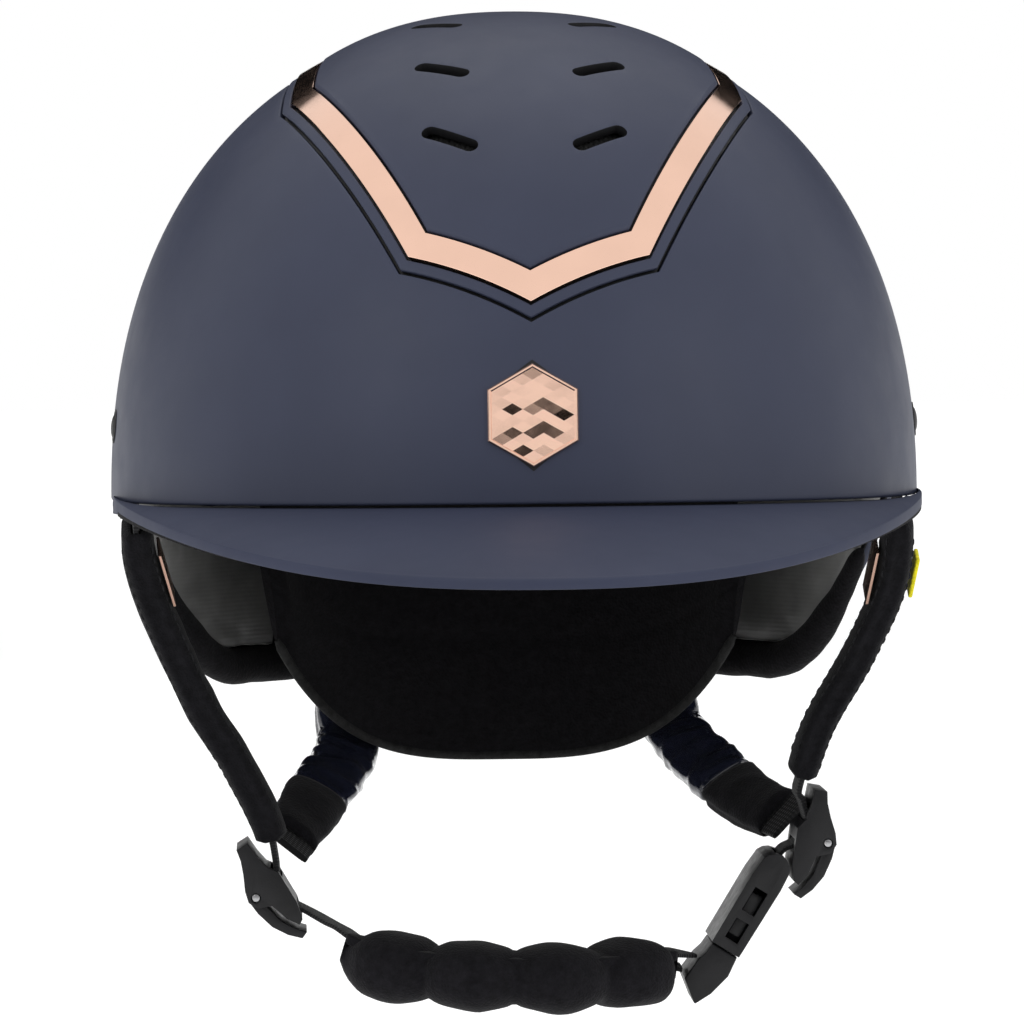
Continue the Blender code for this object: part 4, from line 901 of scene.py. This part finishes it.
def make_peak():
    turns = 90.0 * np.sin(np.radians(np.linspace(-90, 90, 181)))
    rows = [(0.0, 0.0004), (0.004, 0.0001), (0.012, 0.0)] + [(t, 0.0) for t in np.linspace(0.04, 0.97, 22)]
    half = PEAK_WALL / 2
    rows += [(0.985, 0.00005)]
    for i in range(7):
        a = math.pi * i / 6
        rows.append((0.993 + 0.010 * math.sin(a), half - half * math.cos(a)))
    rows += [(t, PEAK_WALL) for t in np.linspace(0.97, 0.0, 12)]
    points = peak_loops(turns, rows)
    phi = turns * PEAK_SPREAD / 90.0
    inner = place(phi, rim_run(phi), -SHELL_WALL)
    upper, lower = inner.copy(), inner.copy()
    upper[:, 2] -= 2 * GAP
    lower[:, 2] -= 2 * GAP + PEAK_WALL
    points = np.concatenate([upper[:, None], points, lower[:, None]], axis=1)
    make("peak_visor", *loft(points), "peak", nodes=["peak"], slot="peak_shell")
    turns = np.linspace(-90, 90, 121) * (1 - LINING_MARGIN * 1.6)
    top, wall = PEAK_WALL + GAP, 0.0010
    rows = [(t, top) for t in np.linspace(LINING_MARGIN, 1 - LINING_MARGIN, 16)]
    rows += [(1 - LINING_MARGIN + 0.004, top + wall * 0.4)]
    rows += [(t, top + wall) for t in np.linspace(1 - LINING_MARGIN - 0.01, LINING_MARGIN + 0.01, 16)]
    rows += [(LINING_MARGIN - 0.004, top + wall * 0.4)]
    make("peak_underside", *loft(peak_loops(turns, rows)), "fabric", nodes=["peak_lining"], slot="fabric")


# ---- lining ----


def puff_band(name, starts, ends, high, wall, rows, mat, node, slot, closed=True, power=0.5):
    """A pad on the dome's inner side whose face swells between its edges."""
    profile = [(t, 0.0, high) for t in np.linspace(0.0, 1.0, rows)]
    for t in np.linspace(1.0, 0.0, rows * 2):
        swell = max(math.sin(math.pi * t), 0.0) ** power
        profile.append((t, 0.0, high - wall * (0.25 + 0.75 * swell)))
    obj = make(name, *band(starts, ends, profile, closed), mat, nodes=[node], slot=slot)
    return obj


def make_lining():
    high = -(LINER_SKIN + LINER_WALL + HEADBAND_GAP)
    end = lambda phi: liner_run(phi) - 0.001
    start = lambda phi: end(phi) - HEADBAND_HEIGHT
    starts, ends = around(220, start), around(220, end)
    band_pad = puff_band(
        "brow_band", starts, ends, high, HEADBAND_WALL, 8, "fabric", "headband", "fabric"
    )
    crumple(band_pad, 0.0003, 0.009, 3)
    count, radius = 96, CROWN_PAD_RADIUS
    lift = high
    phi = 360.0 * np.arange(count) / count
    tops = [place(phi, radius * t, lift) for t in np.linspace(0.1, 1.0, 12)]
    lows = []
    for t in np.linspace(1.0, 0.1, 22):
        ring = place(phi, radius * t, lift)
        ring[:, 2] = 0.0004 + 0.0016 * (0.5 - 0.5 * math.cos(2 * math.pi * t * 3)) * ease((1 - t) / 0.15)
        lows.append(ring)
    loops = np.array(tops + lows)
    verts, faces = loft(loops)
    pad = make("crown_cushion", verts, faces, "fabric", nodes=["crown_pad"], slot="fabric", sharp=60.0)
    for sign, side in ((-1, "left"), (1, "right")):
        begin, stop = (sign * turn for turn in SIDE_PANEL_SPAN)
        starts = around(70, lambda phi: liner_run(phi) + 0.0015, begin, stop)
        ends = around(70, lambda phi: rim_run(phi) - 0.0010, begin, stop)
        panel = puff_band(
            f"ear_lining_{side}", starts, ends, -LINER_SKIN, SIDE_PANEL_WALL, 14, "satin",
            f"side_panel_{side}", "satin_lining", closed=False, power=0.8,
        )
        crumple(panel, 0.0005, 0.011, 5 + sign)


def rim_point(phi):
    run = rim_run(phi)
    point = Vector(place(phi, run, -SHELL_WALL - 0.0018))
    out = (Vector(place(phi, run, 0.001)) - Vector(place(phi, run))).normalized()
    ahead = Vector(place(phi + 0.5, rim_run(phi + 0.5))) - Vector(place(phi - 0.5, rim_run(phi - 0.5)))
    down = ahead.normalized().cross(out)
    return point, out, down if down.z < 0 else -down


def oval(count, half_width, half_thick, power):
    a = 2 * math.pi * (np.arange(count) + 0.5) / count
    c, s = np.cos(a), np.sin(a)
    x = np.sign(c) * np.abs(c) ** (2 / power) * half_width
    y = np.sign(s) * np.abs(s) ** (2 / power) * half_thick
    return list(zip(x, y))


def make_rolls():
    for sign, side in ((-1, "left"), (1, "right")):
        sections = []
        steps = 110
        for i in range(steps):
            phi = sign * (ROLL_SPAN[0] + (ROLL_SPAN[1] - ROLL_SPAN[0]) * i / (steps - 1))
            point, out, down = rim_point(phi)
            grow = 0.55 + 0.45 * ease(i / (steps / 4))
            close = math.sin(math.pi / 2 * min(1.0, (min(i, steps - 1 - i) + 0.6) / 4)) ** 0.6
            centre = point + down * (ROLL_SEMI[1] * grow - GAP)
            outline = oval(20, ROLL_SEMI[0] * grow * close, ROLL_SEMI[1] * grow * close, 2.2)
            sections.append([tuple(centre + out * x + down * y) for x, y in outline])
        roll = make(f"rim_roll_{side}", *loft(sections), "fabric", nodes=[f"rear_roll_{side}"], slot="fabric")
        crumple(roll, 0.0004, 0.010, 9 + sign)


def cradle_low(phi):
    share = np.abs(phi - 180.0) / CRADLE_SPAN
    return CRADLE_TOP - CRADLE_DEPTH + CRADLE_CORNER * share**3


def on_cradle(phi, t, inward=0.0):
    height = CRADLE_TOP + (cradle_low(phi) - CRADLE_TOP) * t
    a = np.radians(phi)
    share = np.interp(-height, -HEIGHTS, SHARES)
    radius = share * plan_radius(a) - CRADLE_INSET - CRADLE_LEAN * t - inward
    return np.stack([radius * np.sin(a), -radius * np.cos(a), height], -1)


def make_cradle():
    phis = 180.0 + CRADLE_SPAN * np.linspace(-1, 1, 121)
    rows = np.linspace(0.0, 1.0, 40)
    outer = np.stack([on_cradle(phis, np.full_like(phis, t)) for t in rows], 1)
    side = 1 - 0.55 * ease((np.abs(phis - 180.0) / CRADLE_SPAN - 0.93) / 0.07)
    walls = []
    for t in rows[::-1]:
        channel = 1 - 0.10 * np.exp(-(((t - 0.5) / 0.03) ** 2))
        wall = CRADLE_WALL * (0.45 + 0.55 * math.sin(math.pi * t)) * side * channel
        walls.append(on_cradle(phis, np.full_like(phis, t), wall))
    loops = np.concatenate([outer, np.stack(walls, 1)], axis=1)
    cradle = make("nape_pad", *loft(loops), "fabric", nodes=["nape_cradle"], slot="fabric")
    crumple(cradle, 0.00035, 0.016, 4)
    route = []
    for phi in 180.0 + CRADLE_SPAN * np.linspace(-1, 1, 90):
        inward = CRADLE_WALL * 0.225
        edge = Vector(on_cradle(phi, 1.0, inward))
        along = Vector(on_cradle(phi + 1, 1.0, inward) - on_cradle(phi - 1, 1.0, inward)).normalized()
        slope = edge - Vector(on_cradle(phi, 0.8, inward))
        route.append(edge + (slope - along * slope.dot(along)).normalized() * 0.0010)
    cord("nape_piping", route, PIPING_RADIUS, "piping", ["nape_binding"], "piping", sides=14)
    points = []
    for i in range(LACE_CROSSINGS + 1):
        t = 0.12 + 0.70 * i / LACE_CROSSINGS
        phi = 180.0 + (LACE_HALF_WIDTH if i % 2 else -LACE_HALF_WIDTH)
        points.append(Vector(on_cradle(phi, t, -0.0010 - 5 * GAP)))
    cord("nape_cord", smooth_route(points, 0.0012), LACE_RADIUS, "thread", ["nape_lace"], "webbing", sides=12)


def cord(name, route, radius, mat, nodes, slot, body="helmet", sides=12):
    """A round cord along a route, with domed ends."""
    loops = []
    count = len(route)
    for i, p in enumerate(route):
        along = (route[min(i + 1, count - 1)] - route[max(i - 1, 0)]).normalized()
        across = along.cross(Vector((0.0, 0.0, 1.0)))
        across = across.normalized() if across.length > 0.2 else along.orthogonal().normalized()
        up = along.cross(across)
        size = radius * (0.55 if i in (0, count - 1) else 1.0)
        loops.append(circle(p, across, up, size, sides))
    return make(name, *loft(loops), mat, body=body, nodes=nodes, slot=slot)


# ---- straps ----


def smooth_route(points, spacing):
    """Even points along a smooth curve through the given ones, ends included."""
    pts = [Vector(p) for p in points]
    pts = [pts[0] * 2 - pts[1]] + pts + [pts[-1] * 2 - pts[-2]]
    dense = []
    for i in range(1, len(pts) - 2):
        a, b, c, d = pts[i - 1 : i + 3]
        for k in range(24):
            t = k / 24
            cubic = (a * 2 - b * 5 + c * 4 - d) * t**2 + (b * 3 - a - c * 3 + d) * t**3
            dense.append(0.5 * (b * 2 + (c - a) * t + cubic))
    dense.append(pts[-2])
    lengths = np.concatenate([[0.0], np.cumsum([(b - a).length for a, b in zip(dense, dense[1:])])])
    count = max(1, round(float(lengths[-1]) / spacing))
    where = np.linspace(0.0, lengths[-1], count + 1)
    xyz = np.array([tuple(p) for p in dense])
    return [Vector(p) for p in np.stack([np.interp(where, lengths, xyz[:, k]) for k in range(3)], -1)]


def strap_frames(route, widths):
    made = []
    last = len(route) - 1
    for i, p in enumerate(route):
        along = (route[min(i + 1, last)] - route[max(i - 1, 0)]).normalized()
        spot = i / last * (len(widths) - 1)
        k = min(int(spot), len(widths) - 2)
        hint = Vector(widths[k]).lerp(Vector(widths[k + 1]), spot - k)
        across = (hint - along * hint.dot(along)).normalized()
        made.append((p, across, along.cross(across)))
    return made


def distances(frames):
    made = [0.0]
    for a, b in zip(frames, frames[1:]):
        made.append(made[-1] + (b[0] - a[0]).length)
    return made


def flat_strap(name, frames, size, nodes=(), body="helmet", ride=True, slot="webbing"):
    """Woven webbing with rounded selvedges, and its weave's own coordinates."""
    outline = oval(24, size[0] / 2, size[1] / 2, 5.0)
    loops, weave = [], []
    for (p, w, n), d in zip(frames, distances(frames)):
        loops.append([tuple(p + w * x + n * y) for x, y in outline])
        weave += [(d, x, y) for x, y in outline]
    return make(name, *loft(loops), "webbing", body=body, nodes=nodes, slot=slot, weave=weave, ride=ride)


def sleeve(name, frames, outer, inner, mat, nodes, slot, body="helmet", drop=0.0, swell=None, power=2.6,
           sides=44, edge=0.0016, seam=0.0, fold=None):
    """A padded tube round a strap, rounded over at its ends. fold gives extra height at (distance, turn)."""
    at = distances(frames)
    whole = at[-1]
    skin = oval(sides, 0.5, 0.5, power)
    bore = oval(sides, inner[0] / 2, inner[1] / 2, 8.0)
    outside, inside = [], []
    for (p, w, n), d in zip(frames, at):
        grow = swell(d / whole) if swell else 1.0
        tip = min(d, whole - d)
        roll = math.sqrt(max(0.0, 1 - (1 - min(tip / edge, 1.0)) ** 2))
        ring = []
        for j, ((x, y), (a, b)) in enumerate(zip(skin, bore)):
            turn = 2 * math.pi * (j + 0.5) / sides
            pinch = seam * math.exp(-((math.sin(turn)) / 0.22) ** 2)
            size = grow * (1 - pinch)
            extra = fold(d, turn) if fold else 0.0
            full_x, full_y = x * outer[0] * size, y * outer[1] * size * (1 - pinch)
            reach = math.hypot(full_x, full_y) or 1.0
            full_x, full_y = full_x * (1 + extra / reach), full_y * (1 + extra / reach)
            low_x, low_y = a + (full_x - a) * 0.35, b + (full_y - b) * 0.35
            place_x = low_x + (full_x - low_x) * roll
            place_y = low_y + (full_y - low_y) * roll - drop
            ring.append(tuple(p + w * place_x + n * place_y))
        outside.append(ring)
        inside.append([tuple(p + w * a + n * b) for a, b in bore])
    verts, faces = loft(outside + inside[::-1], closed=True)
    obj = make(name, verts, faces, mat, body=body, nodes=nodes, slot=slot, sharp=0)
    return obj


def stitches(name, frames, offsets, mat, slot, length=0.0020, pitch=0.0031, radius=0.00022):
    """Short raised threads along a strap. offsets lists (across, up) from its middle."""
    at = distances(frames)
    verts, faces = [], []
    for x, y in offsets:
        for k in range(int(at[-1] / pitch)):
            ends = []
            for d in (k * pitch + 0.0005, k * pitch + 0.0005 + length):
                i = int(np.clip(np.searchsorted(at, d) - 1, 0, len(at) - 2))
                t = (d - at[i]) / max(at[i + 1] - at[i], 1e-9)
                ends.append((frames[i][0].lerp(frames[i + 1][0], t), frames[i][1], frames[i][2]))
            loops = []
            for s, size, sink in ((0.0, 0.4, 0.5), (0.25, 1.0, 0.0), (0.75, 1.0, 0.0), (1.0, 0.4, 0.5)):
                p, w, n = ends[0][0].lerp(ends[1][0], s), ends[0][1], ends[0][2]
                centre = p + w * x + n * (y - math.copysign(sink * radius, y))
                loops.append(circle(centre, w, n, radius * size, 6))
            join(verts, faces, *loft(loops))
    return make(name, verts, faces, mat, slot=slot)


def divider_frame(centre, down, side):
    across = Vector((0.0, 1.0, 0.0))
    out = down.cross(across) * (1 if down.cross(across).x * side > 0 else -1)
    return centre, down, across, out


def tilted(basis, at, along):
    origin, down, across, out = basis
    first = (down * along[0] + out * along[1]).normalized()
    return origin + down * at[0] + out * at[1], first, across, first.cross(across)


def wrinkle(depth, size, seed):
    """A fold pattern for a tube: soft creases that run mostly across it."""

    def height(d, turn):
        p = Vector((d / size, math.cos(turn) * 0.55 + seed, math.sin(turn) * 0.55))
        ridge = 1 - abs(noise.noise(p) * 2.0)
        return depth * (ridge - 0.55 + 0.5 * noise.noise(p * 2.3))

    return height


def make_front_straps(left, right):
    for side, name, route, basis, slot, stop in (
        (-1, "left", LEFT_FRONT_ROUTE, left, LEFT_STRAP_SLOT, LEFT_SLEEVE_END),
        (1, "right", RIGHT_FRONT_ROUTE, right, RIGHT_STRAP_SLOT, RIGHT_SLEEVE_END),
    ):
        anchor = Vector(place(side * FRONT_RIVET[0], run_at(FRONT_RIVET[1]), FRONT_STRAP_LIFT))
        above = anchor + Vector((0.0, 0.0, WEBBING[0] / 2))
        mouth = tilted(basis, *slot)
        path = [above, anchor - Vector((0.0, 0.0, 0.006))] + route
        path = smooth_route(path + [mouth[0] - mouth[1] * 0.004, mouth[0] + mouth[1] * 0.003], STRAP_STEP)
        frames = strap_frames(path, [(0, 1, 0), (0, 1, 0)])
        flat_strap(f"side_web_{name}", frames, WEBBING, [f"front_strap_{name}"])
        covered = [f for f in frames if stop < f[0].z < SLEEVE_START]
        thick = FRONT_SLEEVE if side > 0 else (FRONT_SLEEVE[0], FRONT_SLEEVE[1] + 0.0008)
        sleeve(f"side_cover_{name}", covered, thick, BORE, "cover", [f"front_sleeve_{name}"], "strap_cover",
               swell=lambda t: 0.94 + 0.06 * ease(min(t, 1 - t) / 0.1), power=3.0, seam=0.10,
               fold=wrinkle(0.00035, 0.016, side * 3.0))
        half = thick[0] / 2
        for label, x in (("outer", half * 0.80), ("inner", -half * 0.80)):
            top = thick[1] / 2 * 0.86
            rows = [(x, top), (x, -top)]
            stitches(f"cover_stitch_{name}_{label}", covered[3:-3], rows, "thread", "strap_cover")


def make_rear_straps():
    for side, name, route in ((-1, "left", LEFT_REAR_ROUTE), (1, "right", RIGHT_REAR_ROUTE)):
        run = float(run_at(REAR_RIVET[1]))
        phi = side * REAR_RIVET[0]
        offsets = (-WEBBING[0] / 2, 0.0, REAR_STRAP_UNDER)
        starts = [Vector(place(phi, run + down, REAR_STRAP_LIFT)) for down in offsets]
        path = smooth_route(starts + route, STRAP_STEP)
        hints = [(0.86, -side * 0.40, 0.0), (0.88, -side * 0.40, 0.0), (0.90, -side * 0.30, 0.0)]
        hints += [(0.93, 0.0, side * 0.35), (0.9, 0.0, side * 0.5), (0.75, 0.0, side * 0.6)]
        frames = strap_frames(path, hints)
        flat_strap(f"rear_web_{name}", frames, WEBBING, [f"rear_strap_{name}"])
        covered = [i for i, f in enumerate(frames) if f[0].z < REAR_TUBE_START]
        turn = covered[0] + round(len(covered) * REAR_TUBE_SHARE)
        sleeve(f"patent_tube_{name}", frames[covered[0] : turn + 1], REAR_SLEEVE, BORE, "patent",
               [f"rear_sleeve_{name}"], "patent", power=2.3, seam=0.04,
               fold=wrinkle(0.0010, 0.0085, side * 5.0 + 1))
        cuff = frames[turn + 1 : -5]
        sleeve(f"rear_wrap_{name}", cuff, REAR_CUFF, BORE, "cover", [f"rear_cuff_{name}"], "strap_cover",
               swell=lambda t: 1.0 - 0.16 * ease(t), power=2.5, seam=0.08,
               fold=wrinkle(0.0006, 0.011, side * 7.0))


def lobes(share):
    wave = abs(math.sin(math.pi * PAD_LOBES * share))
    ends = float(ease(min(share, 1 - share) / 0.07))
    return (0.66 + 0.34 * wave**0.60) * (0.84 + 0.16 * ends)


def make_chin(left, right):
    slot = tilted(left, *LEFT_WEB_SLOT)
    route = [slot[0] + slot[1] * along for along in (-0.0020, 0.0045, 0.0075)]
    path = smooth_route(route + [Vector(p) for p in CHIN_ROUTE], STRAP_STEP)
    frames = strap_frames(path, [(0, 1, 0), (0, 1, 0)])
    nodes = ["chin_webbing", "web_tab_left"]
    web = flat_strap("chin_web", frames, CHIN_WEBBING, nodes, ride=False)
    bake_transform(web, "helmet", "chin_strap", start=tuple(path[9]), end=tuple(path[28]))
    covered = [(p, w, n if n.z > 0 else -n) for p, w, n in frames if PAD_REACH[0] < p.x < PAD_REACH[1]]
    pad = sleeve("chin_cushion", covered, PAD_SECTION, PAD_SLOT, "plush", ["chin_pad"], "fabric",
                 body="chin_pad", drop=PAD_DROP, swell=lobes, power=2.5, sides=64, edge=0.0026,
                 fold=wrinkle(0.00045, 0.012, 2.0))
    tail = smooth_route(TAIL_ROUTE, 0.0008)
    frames = strap_frames(tail, [(0, 1, 0), (0, 1, 0)])
    flat_strap("web_end", frames, CHIN_WEBBING, ["webbing_tail"], body="chin_strap")
    slot = tilted(right, *RIGHT_WEB_SLOT)
    mouth = BUCKLE_MOUTH + BUCKLE_UP * 0.0298
    inside = BUCKLE_MOUTH + BUCKLE_UP * 0.0240
    route = smooth_route([slot[0] - slot[1] * 0.0018, slot[0] + slot[1] * 0.0022, mouth, inside], 0.0008)
    flat_strap("buckle_web", strap_frames(route, [(0, 1, 0), (0, 1, 0)]), CHIN_WEBBING, ["web_tab_right"])


def make_hardware():
    for side in ("left", "right"):
        rounded(f"divider_{side}", f"splitter_{side}", "plastic", 0.0006)
        rounded(f"divider_lever_{side}", f"cam_{side}", "plastic", 0.0005, body=f"{side}_lever")
        rounded(f"lever_pin_{side}", f"cam_pin_{side}", "steel", 0.0003)
        # The anchor plates take the darker copy of the rose gold: painted shade.
        rounded(f"anchor_plate_{side}", f"strap_plate_{side}", "rose_painted_shade", 0.0003)
    rounded("buckle_female", "clip_socket", "plastic", 0.0006)
    rounded("buckle_male", "clip_plug", "plastic", 0.0005, body="chin_strap")
    rounded("buckle_latch_front", "clip_arm_front", "plastic", 0.0004, body="latch_front")
    rounded("buckle_latch_rear", "clip_arm_rear", "plastic", 0.0004, body="latch_rear")
    rounded("size_label", "side_tab", "label", 0.0004)
    for node, mat in (("eps_liner", "foam"), ("panel_frame", "plastic"), ("vent_mesh", "mesh")):
        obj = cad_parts[node]
        obj.data.materials.clear()
        obj.data.materials.append(MAT[mat])


# ---- stage ----


def card(name, centre, size, aim, strength):
    light = bpy.data.lights.new(name, "AREA")
    light.shape = "RECTANGLE"
    light.size, light.size_y = size
    light.energy = strength
    obj = linked(name, light)
    obj.location = centre
    obj.rotation_mode = "QUATERNION"
    obj.rotation_quaternion = (Vector(aim) - Vector(centre)).to_track_quat("-Z", "Y")
    return obj


def flag(name, corners):
    """A black card that only shows in reflections and shade."""
    mesh = bpy.data.meshes.new(name)
    mesh.from_pydata(corners, [], [(0, 1, 2, 3)])
    black = Nodes(name)
    black.set(Roughness=0.95, Specular_IOR_Level=0.0)
    black.tint(black.ramp(black.noise(black.place(), 4.0), 0.0, 1.0), (0.004,) * 3, (0.006,) * 3)
    mesh.materials.append(black.material)
    obj = linked(name, mesh)
    obj.visible_camera = False
    obj.visible_shadow = False


def make_stage():
    mesh = bpy.data.meshes.new("floor")
    ways = ((-1, -1), (1, -1), (1, 1), (-1, 1))
    corners = [(x * FLOOR_REACH, y * FLOOR_REACH, FLOOR_HEIGHT) for x, y in ways]
    mesh.from_pydata(corners, [], [(0, 1, 2, 3)])
    pale = Nodes("pale_floor")
    pale.set(Roughness=0.9, Specular_IOR_Level=0.0)
    pale.set(Emission_Color=(1.0, 1.0, 1.0, 1.0), Emission_Strength=0.24)
    pale.tint(pale.ramp(pale.noise(pale.place(), 3.0), 0.0, 1.0), (0.93, 0.93, 0.93), (0.95, 0.95, 0.95))
    mesh.materials.append(pale.material)
    linked("floor", mesh)
    world = bpy.data.worlds.new("studio")
    world.use_nodes = True
    back = world.node_tree.nodes["Background"]
    back.inputs["Color"].default_value = (1.0, 1.0, 1.0, 1.0)
    back.inputs["Strength"].default_value = 1.0
    bpy.context.scene.world = world
    target = (0.0, 0.0, -0.08)
    card("key", (-1.2, -1.5, 0.9), (0.9, 1.1), target, 7.0)
    card("fill", (1.4, -1.3, 0.5), (0.8, 1.2), target, 6.0)
    card("top", (0.0, 0.2, 1.6), (1.2, 1.2), target, 5.0)
    flag("front_flag", [(-1.5, -2.4, -0.9), (1.5, -2.4, -0.9), (1.5, -2.4, 0.38), (-1.5, -2.4, 0.38)])
    flag("rear_flag", [(-2.4, 2.2, 0.25), (2.4, 2.2, 0.25), (2.4, 2.2, 1.6), (-2.4, 2.2, 1.6)])
    bpy.context.scene.view_settings.view_transform = "Standard"
    bpy.context.scene.view_settings.look = "None"


def make_camera():
    elevation, azimuth, roll = (math.radians(a) for a in CAMERA_TURN)
    level = math.cos(elevation)
    back = Vector((math.sin(azimuth) * level, -math.cos(azimuth) * level, math.sin(elevation)))
    camera = bpy.data.cameras.new("camera")
    camera.sensor_width = 36.0
    camera.lens = CAMERA_LENS
    camera.clip_end = 60.0
    obj = linked("camera", camera)
    obj.location = CAMERA_TARGET + back * CAMERA_DISTANCE
    obj.rotation_mode = "QUATERNION"
    obj.rotation_quaternion = (-back).to_track_quat("-Z", "Y") @ Quaternion((0, 0, 1), -roll)
    bpy.context.scene.camera = obj


def main():
    make_camera()
    make_stage()
    make_shell()
    make_panel()
    make_surround()
    make_badge()
    make_rivets()
    make_peak()
    make_lining()
    make_rolls()
    make_cradle()
    left = divider_frame(LEFT_DIVIDER, LEFT_DIVIDER_DOWN, -1)
    right = divider_frame(RIGHT_DIVIDER, RIGHT_DIVIDER_DOWN, 1)
    make_front_straps(left, right)
    make_rear_straps()
    make_chin(left, right)
    make_hardware()


main()
